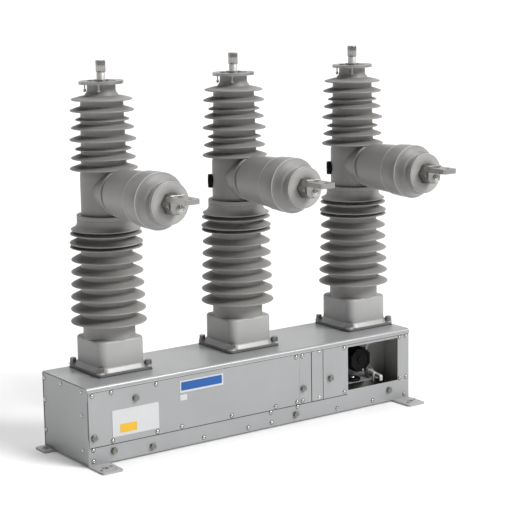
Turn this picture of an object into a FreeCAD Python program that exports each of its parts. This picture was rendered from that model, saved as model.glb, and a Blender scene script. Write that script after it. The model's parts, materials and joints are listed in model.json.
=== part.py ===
import FreeCAD, Part
import math
import os
import Sketcher

# Three-pole outdoor vacuum circuit breaker on a sheet-metal mechanism housing.
# Millimetres. X runs along the housing, the side bushings point to -Y, Z is up.
# The origin is the middle of the bounding box on the ground plane under the feet.

DOC = FreeCAD.newDocument("breaker")
SHEET = DOC.addObject("Spreadsheet::Sheet", "sizes")
VECTOR = FreeCAD.Vector
LABELS = []


# ---------------------------------------------------------------- sizes

class Size:
    """A length that remembers the sheet formula it comes from."""

    def __init__(self, value, formula):
        self.value = float(value)
        self.formula = formula

    def __add__(self, other):
        other = as_size(other)
        return Size(self.value + other.value, f"({self.formula} + {other.formula})")

    def __sub__(self, other):
        other = as_size(other)
        return Size(self.value - other.value, f"({self.formula} - {other.formula})")

    def __mul__(self, factor):
        return Size(self.value * factor, f"({self.formula} * {factor})")

    def __truediv__(self, factor):
        return Size(self.value / factor, f"({self.formula} / {factor})")

    def __neg__(self):
        return Size(-self.value, f"(-1 * {self.formula})")

    def __radd__(self, other):
        return as_size(other) + self

    def __rsub__(self, other):
        return as_size(other) - self

    __rmul__ = __mul__


def as_size(number):
    return number if isinstance(number, Size) else Size(number, repr(float(number)))


DIMENSIONS = {
    # housing
    "foot_thick": 6, "box_height": 224, "box_length": 1166, "box_depth": 263, "sheet": 2.5,
    "seam": 0.6, "rail_height": 52, "rail_lap": 22, "lip_height": 15, "bend": 9, "return_width": 9,
    # poles
    "pole_pitch": 450, "pole_offset": 38, "pole_to_back": 100, "gasket": 2,
    "plate_side": 178, "plate_thick": 7, "plate_corner": 7, "skirt_height": 11, "skirt_spread": 4,
    "bolt_pitch": 158, "bolt_shank": 6, "bolt_across": 18, "bolt_head": 11, "washer": 10.6,
    "washer_thick": 3, "boss_high": 5, "block_side": 152, "block_top": 328, "block_corner": 26,
    "block_edge": 7, "core_low": 75, "core_high": 73, "pole_bore": 46,
    "rim": 2.2, "thin_rim": 1.6, "low_rim_top": 553, "low_rim_pitch": 36,
    "low_rim_radius": 102, "low_rim_growth": 1.5, "low_shed_rise": 13,
    "disc_low": 590, "disc_low_radius": 104, "bell_shed": 602, "bell_shed_radius": 105,
    "disc_high": 628, "disc_high_radius": 103, "bell_rim": 641, "bell_radius": 100,
    "collar_bottom": 656, "collar_top": 683, "collar_radius": 82.5, "socket_depth": 6,
    "mid_radius": 69, "mid_top": 806, "upper_low": 69, "upper_high": 59, "upper_top": 996,
    "upper_bore_top": 1002, "neck_radius": 40.5, "neck_bottom": 1026, "neck_top": 1052,
    "shed_rise": 9,
    # top terminal and its flange
    "stud_radius": 14.3, "stud_length": 34, "stud_top": 1118, "stud_neck": 12.3, "flute": 0.7,
    "flange_radius": 62, "flange_hole": 41, "flange_thick": 8, "hub_radius": 21, "arm_width": 15,
    "ear_reach": 68, "ear_width": 34, "nut_circle": 47, "nut_radius": 4.2, "nut_height": 5,
    "nut_angle": 52, "nut_shank": 2.2, "post_length": 20,
    # side bushing and terminal
    "side_z": 751, "side_gap": 0.1, "root_radius": 60, "root_start": 33, "root_end": 84,
    "barrel_radius": 71.5,
    "collar_end": 92, "collar_radius": 66, "neck_end": 104, "neck_in": 61, "barrel_back": 69, "barrel_front": 75,
    "ring_start": 230, "ring_radius": 79.5, "ring_end": 296, "waist": 56, "waist_rim": 65, "waist_at": 323,
    "cap_start": 334, "cap_radius": 59, "cap_face": 350, "cap_edge": 4, "side_bore": 14.2,
    "stem_radius": 14, "block_depth": 38, "block_width": 46, "block_chamfer": 9,
    "pad_length": 72, "pad_width": 50, "pad_thick": 14, "pad_hole": 7.1, "pad_edge": 13.75,
    "pad_spacing": 44.5, "exchange_radius": 30, "exchange_height": 34, "button_radius": 10,
    "plug_z": 736, "plug_radius": 21, "plug_reach": 82, "plug_face": 15, "plug_turn": 35,
    # interrupter and drive
    "bottle_bottom": 785, "bottle_top": 985, "bottle_radius": 42, "bottle_wall": 6,
    "contact_radius": 20, "contact_thick": 8, "contact_plane": 885, "contact_gap": 10.3,
    "moving_radius": 10, "fit": 0.05, "foot_radius": 16.5, "cup_radius": 24, "cup_bore": 18,
    "cup_floor": 620, "cup_top": 686, "lip_thick": 5, "foot_thick_in": 6, "rod_radius": 14,
    "spring_radius": 13, "spring_wire": 3, "clearance": 0.3,
    "shaft_z": 140, "shaft_radius": 12.5, "crank": 40, "half_swing": 8.6, "pin_radius": 5,
    "arm_thick": 14, "arm_half": 10, "fork_gap": 1, "ear_thick": 6, "fork_half": 14,
    "fork_top": 170, "fork_bridge": 148, "fork_bottom": 118,
    "shaft_left": -500, "shaft_right": 545, "bearing_width": 24, "bearing_half": 22,
    "drive_x": -187, "magnet_radius": 48, "magnet_top": 98, "plunger_radius": 10,
    "plunger_bottom": 40, "seat_radius": 20, "seat_thick": 5, "return_spring_wire": 4,
    "return_spring_radius": 14,
    # operator's compartment
    "window_left": 335, "window_right": 538, "window_bottom": 68, "window_top": 205,
    "frame_left": 327, "wall_left": 326, "wall_right": 556.4, "wall_back": 106,
    "cap_x": 425, "cap_z": 143, "cap_half": 38, "cap_reach": 44,
    "shelf_z": 80, "shelf_left": 345, "shelf_right": 484, "shelf_front": 45, "gland_x": 398,
    "gland_y": 72, "gland_radius": 27, "gland_high": 9, "lever_x": 466, "lever_y": 72,
    "lever_z": 98, "lever_width": 14, "lever_reach": 50, "lever_drop": 25, "lever_pin": 4,
    # mounting feet
    "foot_width": 65, "foot_reach": 77, "foot_inner": 60, "back_foot_width": 60,
    "back_foot_reach": 33, "foot_corner": 7, "foot_hole": 7, "front_hole_in": 28,
    "front_hole_out": 38.5, "back_hole_out": 16.5, "pilot_hole": 3.2,
    # small fasteners and plates
    "screw_head": 6.2, "screw_dome": 3.6, "screw_shank": 2.5, "screw_length": 6, "screw_fit": 0.1,
    "hex_across": 17, "hex_high": 6.5, "hex_shank": 4, "hex_length": 9,
    "label_thick": 0.8, "label_left": -506, "label_right": -353, "label_bottom": 76,
    "label_top": 153, "name_left": -280, "name_right": -130, "name_bottom": 166, "name_top": 201,
    "strip_right": -113, "strip_bottom": 143, "strip_top": 160,
    "strip_left": 148, "access_left": 237,
}

# Upper sheds from the top down: height of the rim and its radius.
UPPER_SHEDS = ((1009, 86.5), (978, 91), (952, 76.5), (929, 89), (896, 94.5), (869, 80), (844, 91.5),
               (814, 96.5))

# Small screws in the front panels: distance along the housing, by row.
COVER_TOP_SCREWS = (-568, -507, -359, 136)
COVER_LOW_SCREWS = (-506, -359, -276, -102, 58, 138)
STRIP_SCREWS = (159, 223)
ACCESS_SCREW = 321
FRAME_SCREWS = (546, 571)
RAIL_SCREWS = (-568, -200, -41, 44, 294, 435, 564)
RAIL_HIGH_SCREWS = (-568, 41, 142)
BACK_SCREWS = (-560, -374, -187, 0, 187, 374, 560)

# Larger hexagon bolts in the covers and in the rail: (along, up).
COVER_BOLTS = ((-428, 178), (-565, 85), (162, 105), (266, 120))
RAIL_BOLTS = ((-375, 25), (134, 28), (501, 42), (-502, 37))

# Heights of the screw rows: in the covers, in the rail and in the back wall.
ROW_HIGH, ROW_LOW, ROW_FRAME, ROW_RAIL, ROW_RAIL_HIGH, ROW_BACK = 206, 66, 73, 18, 50, 64

# Grooves round each top stud, and the coils of the two kinds of spring.
FLUTES, OPENING_COILS, CONTACT_COILS = 12, 4, 6

# Direction in which the sensor plugs leave their pole, turned towards the back.
PLUG_WAY = VECTOR(-math.cos(math.radians(DIMENSIONS["plug_turn"])),
                  math.sin(math.radians(DIMENSIONS["plug_turn"])), 0)

# Left faces of the two middle shaft bearings.
MIDDLE_BEARINGS = (-100, 240)

# Screws in each end cover: (from the back of the housing, up).
END_SCREWS = ((12, 211), (110, 214), (228, 214), (12, 146), (228, 146), (12, 54), (228, 45))


def cell(alias, value):
    cell.row += 1
    SHEET.set(f"A{cell.row}", alias)
    SHEET.set(f"B{cell.row}", str(value))
    SHEET.setAlias(f"B{cell.row}", alias)


cell.row = 0


class Sizes:
    """Reads d.alias as a Size bound to that cell."""

    def __getattr__(self, alias):
        return Size(SHEET.get(alias), f"sizes.{alias}")


def fill_sheet():
    for alias, value in DIMENSIONS.items():
        cell(alias, value)
    for number, (height, radius) in enumerate(UPPER_SHEDS):
        cell(f"shed_height_{number}", height)
        cell(f"shed_radius_{number}", radius)
    DOC.recompute()


fill_sheet()
d = Sizes()

BOX_TOP = d.foot_thick + d.box_height
HALF_LENGTH = d.box_length / 2
SIDE_TIP = d.cap_face + d.block_depth + d.pad_length
SHED_REACH = d.low_rim_radius + d.low_rim_growth * 5
POLE_Y = (SIDE_TIP - SHED_REACH) / 2
BACK_Y = POLE_Y + d.pole_to_back
FRONT_Y = BACK_Y - d.box_depth
FRAME_Y = FRONT_Y + d.sheet
SHAFT_Y = POLE_Y - d.crank
PLATE_BOTTOM = BOX_TOP + d.gasket
BLOCK_BOTTOM = PLATE_BOTTOM + d.plate_thick
POLES = (("left", -1), ("centre", 0), ("right", 1))
SWING_COS = math.cos(math.radians(DIMENSIONS["half_swing"]))
SWING_SIN = math.sin(math.radians(DIMENSIONS["half_swing"]))
PIN_Y = SHAFT_Y + d.crank * SWING_COS
PIN_Z = d.shaft_z - d.crank * SWING_SIN


def pole_x(step):
    return d.pole_offset + d.pole_pitch * step


# ---------------------------------------------------------------- modelling helpers

def bind(target, prop, amount):
    target.setExpression(prop, as_size(amount).formula)


def new_body(label, move=None):
    body = DOC.addObject("PartDesign::Body", label)
    body.Label = label
    LABELS.append(label)
    if move:
        for axis, amount in zip("xyz", move):
            bind(body, f"Placement.Base.{axis}", amount)
    return body


def new_sketch(body, plane, height=0, shift=(0, 0)):
    sketch = body.newObject("Sketcher::SketchObject", "profile")
    origin = next(item for item in body.Origin.OriginFeatures if item.Role == f"{plane}_Plane")
    sketch.AttachmentSupport = [(origin, "")]
    sketch.MapMode = "FlatFace"
    for axis, amount in zip("xyz", (shift[0], shift[1], height)):
        bind(sketch, f".AttachmentOffset.Base.{axis}", amount)
    return sketch


def hold(sketch, kind, first, point, amount):
    """Fix one vertex or centre at a bound distance from the sketch's origin."""
    amount = as_size(amount)
    index = sketch.addConstraint(Sketcher.Constraint(kind, -1, 1, first, point, amount.value))
    bind(sketch, f"Constraints[{index}]", amount)


def outline(sketch, points):
    """A closed outline of straight lines through bound points."""
    points = [(as_size(x), as_size(y)) for x, y in points]
    first = sketch.GeometryCount
    for number, (x, y) in enumerate(points):
        far_x, far_y = points[(number + 1) % len(points)]
        sketch.addGeometry(Part.LineSegment(VECTOR(x.value, y.value), VECTOR(far_x.value, far_y.value)))
    for number, (x, y) in enumerate(points):
        following = first + (number + 1) % len(points)
        sketch.addConstraint(Sketcher.Constraint("Coincident", first + number, 2, following, 1))
        hold(sketch, "DistanceX", first + number, 1, x)
        hold(sketch, "DistanceY", first + number, 1, y)


def box_outline(sketch, left, right, low, high):
    outline(sketch, ((left, low), (right, low), (right, high), (left, high)))


def rounded_square(sketch, half, corner):
    """A square about the sketch's origin with round corners."""
    half, corner = as_size(half), as_size(corner)
    flat = half - corner
    first = sketch.GeometryCount
    ends = ((-flat, -half), (flat, -half), (half, -flat), (half, flat), (flat, half), (-flat, half),
            (-half, flat), (-half, -flat))
    places = [VECTOR(x.value, y.value) for x, y in ends]
    bend_in = flat.value + corner.value * math.sqrt(0.5)
    for number in range(4):
        start, stop, following = places[2 * number], places[2 * number + 1], places[(2 * number + 2) % 8]
        middle = VECTOR(math.copysign(bend_in, stop.x + following.x),
                        math.copysign(bend_in, stop.y + following.y))
        sketch.addGeometry(Part.LineSegment(start, stop))
        sketch.addGeometry(Part.Arc(stop, middle, following))
    for number in range(4):
        line, arc, following = (first + (2 * number + step) % 8 for step in (0, 1, 2))
        sketch.addConstraint(Sketcher.Constraint("Coincident", line, 2, arc, 1))
        sketch.addConstraint(Sketcher.Constraint("Coincident", arc, 2, following, 1))
        for point in (1, 2):
            x, y = ends[2 * number + point - 1]
            hold(sketch, "DistanceX", line, point, x)
            hold(sketch, "DistanceY", line, point, y)
        bound = sketch.addConstraint(Sketcher.Constraint("Radius", arc, corner.value))
        bind(sketch, f"Constraints[{bound}]", corner)


def disc(sketch, radius, x=0, y=0):
    x, y, radius = as_size(x), as_size(y), as_size(radius)
    index = sketch.addGeometry(Part.Circle(VECTOR(x.value, y.value), VECTOR(0, 0, 1), radius.value))
    hold(sketch, "DistanceX", index, 3, x)
    hold(sketch, "DistanceY", index, 3, y)
    bound = sketch.addConstraint(Sketcher.Constraint("Radius", index, radius.value))
    bind(sketch, f"Constraints[{bound}]", radius)


def pad(body, sketch, length, midplane=False, reverse=False):
    feature = body.newObject("PartDesign::Pad", "pad")
    feature.Profile = sketch
    bind(feature, "Length", length)
    feature.Midplane = midplane
    feature.Reversed = reverse
    return feature


def pocket(body, sketch, length, midplane=False, reverse=False):
    """Cut a sketch out of the body, and make sure that something was cut."""
    DOC.recompute()
    before = body.Shape.Volume
    feature = body.newObject("PartDesign::Pocket", "pocket")
    feature.Profile = sketch
    bind(feature, "Length", length)
    feature.Midplane = midplane
    feature.Reversed = reverse
    DOC.recompute()
    if body.Shape.Volume > before - 1:
        raise RuntimeError(f"{body.Label}: a pocket cut nothing")
    return feature


def turn(body, sketch, axis="V_Axis"):
    feature = body.newObject("PartDesign::Revolution", "turned")
    feature.Profile = sketch
    feature.ReferenceAxis = (sketch, [axis])
    feature.Angle = 360
    return feature


def turned_profile(body, points, plane="XZ", axis="V_Axis", shift=(0, 0)):
    sketch = new_sketch(body, plane, 0, shift)
    outline(sketch, points)
    return turn(body, sketch, axis)


def soften(body, radius, wanted, kind="Fillet"):
    """Round or bevel every edge of the body that the wanted test picks."""
    DOC.recompute()
    base = body.Tip
    names = [f"Edge{n + 1}" for n, edge in enumerate(base.Shape.Edges) if wanted(edge)]
    if not names:
        raise RuntimeError(f"{body.Label}: no edge to soften")
    feature = body.newObject(f"PartDesign::{kind}", kind.lower())
    feature.Base = (base, names)
    bind(feature, "Radius" if kind == "Fillet" else "Size", radius)
    DOC.recompute()
    return feature


def upright(edge):
    """True for a straight edge along Z."""
    if len(edge.Vertexes) != 2:
        return False
    run = edge.Vertexes[1].Point - edge.Vertexes[0].Point
    return abs(run.x) < 0.01 and abs(run.y) < 0.01


def at_height(height):
    level = as_size(height).value
    return lambda edge: all(abs(vertex.Point.z - level) < 0.01 for vertex in edge.Vertexes)


def shed(body, height, radius, rise, core, rim):
    """One weather shed: a sloping top, a round rim and a slightly hollow underside."""
    height, radius, rise, core, rim = (as_size(item) for item in (height, radius, rise, core, rim))
    sketch = new_sketch(body, "XZ")
    centre_x = radius - rim
    inner = core - 4
    slope = math.atan2(rise.value, centre_x.value - core.value)
    top_x = centre_x + rim * round(math.sin(slope), 6)
    top_y = height + rim * round(math.cos(slope), 6)
    low_y = height - rim
    points = ((inner, height + rise + rim), (top_x, top_y), (centre_x, low_y), (inner, low_y + 3))
    corners = [VECTOR(x.value, y.value) for x, y in points]
    mid = VECTOR(radius.value, height.value)
    sketch.addGeometry(Part.LineSegment(corners[0], corners[1]))
    sketch.addGeometry(Part.Arc(corners[1], mid, corners[2]))
    sketch.addGeometry(Part.LineSegment(corners[2], corners[3]))
    sketch.addGeometry(Part.LineSegment(corners[3], corners[0]))
    # An arc is kept counter-clockwise, so it starts at its lower end.
    for first, end, second, start in ((0, 2, 1, 2), (1, 1, 2, 1), (2, 2, 3, 1), (3, 2, 0, 1)):
        sketch.addConstraint(Sketcher.Constraint("Coincident", first, end, second, start))
    fixed = ((0, 1, points[0]), (0, 2, points[1]), (2, 1, points[2]), (2, 2, points[3]))
    for line, point, (x, y) in fixed:
        hold(sketch, "DistanceX", line, point, x)
        hold(sketch, "DistanceY", line, point, y)
    bound = sketch.addConstraint(Sketcher.Constraint("Radius", 1, rim.value))
    bind(sketch, f"Constraints[{bound}]", rim)
    turn(body, sketch)


def helix(label, radius, wire, low, high, turns, place):
    """A coil spring with its ends cut square, set as a shape."""
    low_end = low + wire * 0.5
    height = high - low - wire
    path = Part.makeHelix(height / turns, height, radius)
    section = Part.Wire([Part.makeCircle(wire / 2, VECTOR(radius, 0, 0), VECTOR(0, 1, 0))])
    coil = Part.Wire(path).makePipeShell([section], True, True)
    spring = DOC.addObject("Part::Feature", label)
    spring.Label = label
    spring.Shape = coil
    spring.Placement = FreeCAD.Placement(VECTOR(place[0], place[1], low_end), FreeCAD.Rotation())
    LABELS.append(label)


# ---------------------------------------------------------------- poles

def lower_insulator(side, place):
    body = new_body(f"lower_insulator_{side}", place)
    half = d.block_side / 2
    foot = new_sketch(body, "XY", BLOCK_BOTTOM)
    rounded_square(foot, half, d.block_corner)
    pad(body, foot, d.block_top - BLOCK_BOTTOM)
    soften(body, d.block_edge, at_height(d.block_top))
    floor = d.block_top - d.block_edge
    turned_profile(body, ((0, floor), (d.core_low, floor), (d.core_high, d.bell_rim),
                          (d.core_high, d.collar_top - 10), (0, d.collar_top - 10)))
    turned_profile(body, ((0, d.bell_rim - d.thin_rim), (d.bell_radius, d.bell_rim - d.thin_rim),
                          (d.bell_radius, d.bell_rim + d.thin_rim),
                          (d.collar_radius + 5, d.collar_bottom - 6), (d.collar_radius, d.collar_bottom),
                          (d.collar_radius, d.collar_top - 1.5),
                          (d.collar_radius - 1.5, d.collar_top), (0, d.collar_top)))
    for number in range(6):
        shed(body, d.low_rim_top - d.low_rim_pitch * number, d.low_rim_radius + d.low_rim_growth * number,
             d.low_shed_rise, d.core_high, d.rim)
    shed(body, d.bell_shed, d.bell_shed_radius, d.low_shed_rise, d.core_high, d.rim)
    shed(body, d.disc_low, d.disc_low_radius, d.shed_rise / 3, d.core_high, d.thin_rim)
    shed(body, d.disc_high, d.disc_high_radius, d.shed_rise / 3, d.core_high, d.thin_rim)
    bore = new_sketch(body, "XY", d.collar_top + 1)
    disc(bore, d.pole_bore)
    pocket(body, bore, d.collar_top + 2 - BLOCK_BOTTOM)
    socket = new_sketch(body, "XY", d.collar_top)
    disc(socket, d.mid_radius)
    pocket(body, socket, d.socket_depth)


def upper_housing(side, place):
    body = new_body(f"upper_housing_{side}", place)
    low = d.collar_top - d.socket_depth
    turned_profile(body, ((d.pole_bore, low), (d.mid_radius, low), (d.mid_radius, d.mid_top),
                          (d.upper_low, d.mid_top + 20), (d.upper_high, d.upper_top),
                          (d.upper_high - 3, d.neck_bottom - 12), (d.neck_radius + 4, d.neck_bottom - 5),
                          (d.neck_radius, d.neck_bottom), (d.neck_radius, d.neck_top),
                          (d.stud_neck + d.clearance, d.neck_top),
                          (d.stud_neck + d.clearance, d.upper_bore_top), (d.pole_bore, d.upper_bore_top)))
    for number in range(len(UPPER_SHEDS)):
        height = getattr(d, f"shed_height_{number}")
        radius = getattr(d, f"shed_radius_{number}")
        thin = UPPER_SHEDS[number][1] < 85
        core = d.neck_radius + 5 if number == 0 else d.upper_high
        shed(body, height, radius, d.shed_rise / 2 if thin else d.shed_rise, core,
             d.thin_rim if thin else d.rim)
    # The lowest shed is cut away round the barrel of the side bushing.
    notch = new_sketch(body, "XZ", d.root_end - d.clearance, (0, d.side_z))
    disc(notch, d.barrel_radius + d.clearance)
    pocket(body, notch, d.low_rim_radius, reverse=True)
    side_hole = new_sketch(body, "XZ", 0, (0, d.side_z))
    disc(side_hole, d.stem_radius + d.clearance)
    pocket(body, side_hole, d.mid_radius + 5, reverse=True)
    if side != "left":
        inner = d.mid_radius - d.plug_face
        port = new_sketch(body, "YZ", inner * PLUG_WAY.x, (inner * PLUG_WAY.y, d.plug_z))
        port.AttachmentOffset = FreeCAD.Placement(port.AttachmentOffset.Base,
                                                  FreeCAD.Rotation(VECTOR(0, 1, 0), -DIMENSIONS["plug_turn"]))
        disc(port, d.plug_radius)
        pocket(body, port, d.plug_face + 2)


def side_bushing(side, place):
    body = new_body(f"side_bushing_{side}", place)
    turned_profile(body, ((-d.root_start, d.side_bore), (-d.root_start, d.root_radius),
                          (-d.root_end, d.root_radius),
                          (-d.root_end, d.collar_radius), (-d.collar_end, d.collar_radius),
                          (-d.collar_end, d.neck_in), (-d.neck_end, d.neck_in),
                          (-d.neck_end, d.barrel_back - 3), (-(d.neck_end + 4), d.barrel_back),
                          (-d.ring_start, d.barrel_front), (-(d.ring_start + 2), d.ring_radius - 2.5),
                          (-(d.ring_start + 34), d.ring_radius), (-d.ring_end, d.ring_radius),
                          (-(d.ring_end + 3), d.ring_radius - 2), (-d.waist_at, d.waist_rim),
                          (-(d.waist_at + 2), d.waist), (-d.cap_start, d.waist),
                          (-d.cap_start, d.cap_radius), (-(d.cap_face - d.cap_edge), d.cap_radius),
                          (-d.cap_face, d.cap_radius - d.cap_edge), (-d.cap_face, d.side_bore)),
                   "YZ", "H_Axis", (0, d.side_z))
    saddle = new_sketch(body, "XY", d.side_z)
    disc(saddle, d.mid_radius + d.side_gap)
    pocket(body, saddle, d.root_radius * 3, midplane=True)


def side_terminal(side, place):
    body = new_body(f"side_terminal_{side}", place)
    half = d.block_width / 2
    ring = new_sketch(body, "XY", d.side_z - d.exchange_height / 2)
    disc(ring, d.exchange_radius)
    pad(body, ring, d.exchange_height)
    stem = new_sketch(body, "XZ", d.exchange_radius / 2, (0, d.side_z))
    disc(stem, d.stem_radius)
    pad(body, stem, d.cap_face - d.exchange_radius / 2)
    cut = d.block_chamfer
    block = new_sketch(body, "XZ", d.cap_face, (0, d.side_z))
    outline(block, ((-half + cut, -half), (half - cut, -half), (half, -half + cut), (half, half - cut),
                    (half - cut, half), (-half + cut, half), (-half, half - cut), (-half, -half + cut)))
    pad(body, block, d.block_depth)
    blade = new_sketch(body, "XZ", d.cap_face + d.block_depth / 2, (0, d.side_z))
    box_outline(blade, -d.pad_width / 2, d.pad_width / 2, half - d.pad_thick, half)
    pad(body, blade, d.block_depth / 2 + d.pad_length)
    tip_end = -SIDE_TIP.value
    soften(body, d.bend, lambda edge: upright(edge) and abs(edge.Vertexes[0].Point.y - tip_end) < 0.01)
    button = new_sketch(body, "XZ", d.cap_face + d.block_depth, (half / 3, d.side_z - half / 2))
    disc(button, d.button_radius)
    pad(body, button, d.button_radius * 0.7)
    face_y = -(d.cap_face + d.block_depth + d.button_radius * 0.7).value
    soften(body, d.button_radius * 0.45, lambda edge: len(edge.Vertexes) == 1
           and abs(edge.Vertexes[0].Point.y - face_y) < 0.01)
    holes = new_sketch(body, "XY", d.side_z + half + 1)
    disc(holes, d.pad_hole, 0, -(SIDE_TIP - d.pad_edge))
    disc(holes, d.pad_hole, 0, -(SIDE_TIP - d.pad_edge - d.pad_spacing))
    pocket(body, holes, d.pad_thick + 2)
    bore = new_sketch(body, "XY", d.side_z + d.exchange_height)
    disc(bore, d.moving_radius + d.fit)
    pocket(body, bore, d.exchange_height * 2)


def top_terminal(side, place):
    body = new_body(f"top_terminal_{side}", place)
    shoulder = d.stud_top - d.stud_length
    turned_profile(body, ((0, d.bottle_top), (d.stud_neck, d.bottle_top), (d.stud_neck, shoulder),
                          (d.stud_radius, shoulder), (d.stud_radius, d.stud_top - 1.5),
                          (d.stud_radius - 1.5, d.stud_top), (0, d.stud_top)))
    flute = new_sketch(body, "XY", d.stud_top + 1)
    disc(flute, d.flute, d.stud_radius, 0)
    groove = pocket(body, flute, d.stud_length + 1)
    ring = body.newObject("PartDesign::PolarPattern", "flutes")
    ring.Originals = [groove]
    ring.Axis = (flute, ["N_Axis"])
    ring.Occurrences = FLUTES
    body.Tip = ring


def top_flange(side, place):
    body = new_body(f"top_flange_{side}", place)
    rim = new_sketch(body, "XY", d.neck_top)
    disc(rim, d.flange_radius)
    disc(rim, d.flange_hole)
    pad(body, rim, d.flange_thick)
    half = d.ear_width / 2
    ears = new_sketch(body, "XY", d.neck_top)
    for way in (-1, 1):
        inner, outer, tip = d.flange_hole * 1.2 * way, d.ear_reach * way, half * 0.5
        outline(ears, ((inner, -half), (outer - half * 0.5 * way, -half), (outer, -tip), (outer, tip),
                       (outer - half * 0.5 * way, half), (inner, half)))
    pad(body, ears, d.flange_thick)
    arms = new_sketch(body, "XY", d.neck_top)
    box_outline(arms, -d.arm_width / 2, d.arm_width / 2, -(d.flange_hole + 4), d.flange_hole + 4)
    pad(body, arms, d.flange_thick - 1)
    cross = new_sketch(body, "XY", d.neck_top)
    box_outline(cross, -(d.flange_hole + 4), d.flange_hole + 4, -d.arm_width / 2, d.arm_width / 2)
    pad(body, cross, d.flange_thick - 1)
    hub = new_sketch(body, "XY", d.neck_top)
    disc(hub, d.hub_radius)
    pad(body, hub, d.flange_thick + 4)
    bore = new_sketch(body, "XY", d.neck_top + d.flange_thick + 6)
    disc(bore, d.stud_neck + d.fit)
    for way in (-1, 1):
        disc(bore, d.nut_shank + 1, (d.ear_reach - 11) * way, 0)
    for x, y in flange_nut_places():
        disc(bore, d.nut_shank + d.screw_fit, x, y)
    pocket(body, bore, d.flange_thick * 3)


def flange_nut_places():
    angle = math.radians(DIMENSIONS["nut_angle"])
    for quarter in range(3):
        turned = angle + quarter * math.pi / 2
        yield d.nut_circle * round(math.cos(turned), 6), d.nut_circle * round(math.sin(turned), 6)


def vacuum_interrupter(side, place):
    body = new_body(f"vacuum_interrupter_{side}", place)
    wall = d.bottle_radius - d.bottle_wall
    fixed_face = d.contact_plane + d.contact_gap
    turned_profile(body, ((d.moving_radius + 1, d.bottle_bottom), (d.bottle_radius - 3, d.bottle_bottom),
                          (d.bottle_radius, d.bottle_bottom + 8), (d.bottle_radius, d.bottle_top - 8),
                          (d.bottle_radius - 3, d.bottle_top), (0, d.bottle_top), (0, fixed_face),
                          (d.contact_radius, fixed_face), (d.contact_radius, fixed_face + d.contact_thick),
                          (d.moving_radius, fixed_face + d.contact_thick),
                          (d.moving_radius, d.bottle_top - 6), (wall, d.bottle_top - 6),
                          (wall, d.bottle_bottom + 6), (d.moving_radius + 1, d.bottle_bottom + 6)))


def moving_contact(side, place):
    body = new_body(f"moving_contact_{side}", place)
    foot_top = d.cup_top - d.lip_thick - d.clearance
    foot_low = foot_top - d.foot_thick_in
    turned_profile(body, ((0, foot_low), (d.foot_radius, foot_low), (d.foot_radius, foot_top),
                          (d.moving_radius, foot_top), (d.moving_radius, d.contact_plane - d.contact_thick),
                          (d.contact_radius, d.contact_plane - d.contact_thick),
                          (d.contact_radius, d.contact_plane), (0, d.contact_plane)))


def drive_rod(side, place):
    body = new_body(f"drive_rod_{side}", place)
    turned_profile(body, ((0, d.fork_bridge + 6), (d.rod_radius, d.fork_bridge + 6),
                          (d.rod_radius, d.cup_floor - 12), (d.cup_radius, d.cup_floor - 6),
                          (d.cup_radius, d.cup_top), (d.moving_radius + 1, d.cup_top),
                          (d.moving_radius + 1, d.cup_top - d.lip_thick),
                          (d.cup_bore, d.cup_top - d.lip_thick), (d.cup_bore, d.cup_floor), (0, d.cup_floor)))
    inner = d.arm_thick / 2 + d.fork_gap
    outer = inner + d.ear_thick
    bridge = new_sketch(body, "XY", d.fork_bridge)
    box_outline(bridge, -outer, outer, -d.fork_half, d.fork_half)
    pad(body, bridge, d.fork_top - d.fork_bridge)
    ears = new_sketch(body, "XY", d.fork_bottom)
    box_outline(ears, -outer, -inner, -d.fork_half, d.fork_half)
    box_outline(ears, inner, outer, -d.fork_half, d.fork_half)
    pad(body, ears, d.fork_bridge - d.fork_bottom)
    slot = new_sketch(body, "YZ", 0, (PIN_Y - POLE_Y, PIN_Z))
    wide = d.pin_radius + 1
    tall = d.pin_radius + d.fit
    box_outline(slot, -wide, wide, -tall, tall)
    pocket(body, slot, outer * 3, midplane=True)


def contact_spring(side, step):
    centre = (pole_x(step).value, POLE_Y.value)
    low = DIMENSIONS["cup_floor"] + 0.5
    high = (d.cup_top - d.lip_thick - d.clearance - d.foot_thick_in).value - 0.5
    helix(f"contact_spring_{side}", DIMENSIONS["spring_radius"], DIMENSIONS["spring_wire"], low, high,
          CONTACT_COILS, centre)


def base_plate(side, place):
    body = new_body(f"base_plate_{side}", place)
    half = d.plate_side / 2
    plate = new_sketch(body, "XY", PLATE_BOTTOM)
    rounded_square(plate, half, d.plate_corner)
    pad(body, plate, d.plate_thick)
    inner = d.block_side / 2 + 0.2
    outer = inner + d.skirt_spread
    skirt_top = BLOCK_BOTTOM + d.skirt_height
    skirt = new_sketch(body, "XY", BLOCK_BOTTOM)
    rounded_square(skirt, outer, d.block_corner + d.skirt_spread)
    pad(body, skirt, d.skirt_height)
    soften(body, d.skirt_spread - 1, at_height(skirt_top), "Chamfer")
    bosses = new_sketch(body, "XY", BLOCK_BOTTOM)
    for x, y in bolt_corners():
        disc(bosses, d.washer, x, y)
    pad(body, bosses, d.boss_high)
    well = new_sketch(body, "XY", skirt_top + 1)
    rounded_square(well, inner, d.block_corner)
    pocket(body, well, d.skirt_height + 1)
    bore = new_sketch(body, "XY", BLOCK_BOTTOM + d.boss_high + 1)
    disc(bore, d.pole_bore)
    for x, y in bolt_corners():
        disc(bore, d.bolt_shank + d.screw_fit, x, y)
    pocket(body, bore, d.plate_thick + d.boss_high + 2)


def bolt_corners():
    half = d.bolt_pitch / 2
    for way_x in (-1, 1):
        for way_y in (-1, 1):
            yield half * way_x, half * way_y


def make_pole(side, step):
    place = (pole_x(step), POLE_Y, 0)
    for build in (lower_insulator, upper_housing, side_bushing, side_terminal, top_terminal, top_flange,
                  vacuum_interrupter, moving_contact, drive_rod, base_plate):
        build(side, place)
    contact_spring(side, step)


# ---------------------------------------------------------------- groups of repeated pieces

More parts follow.
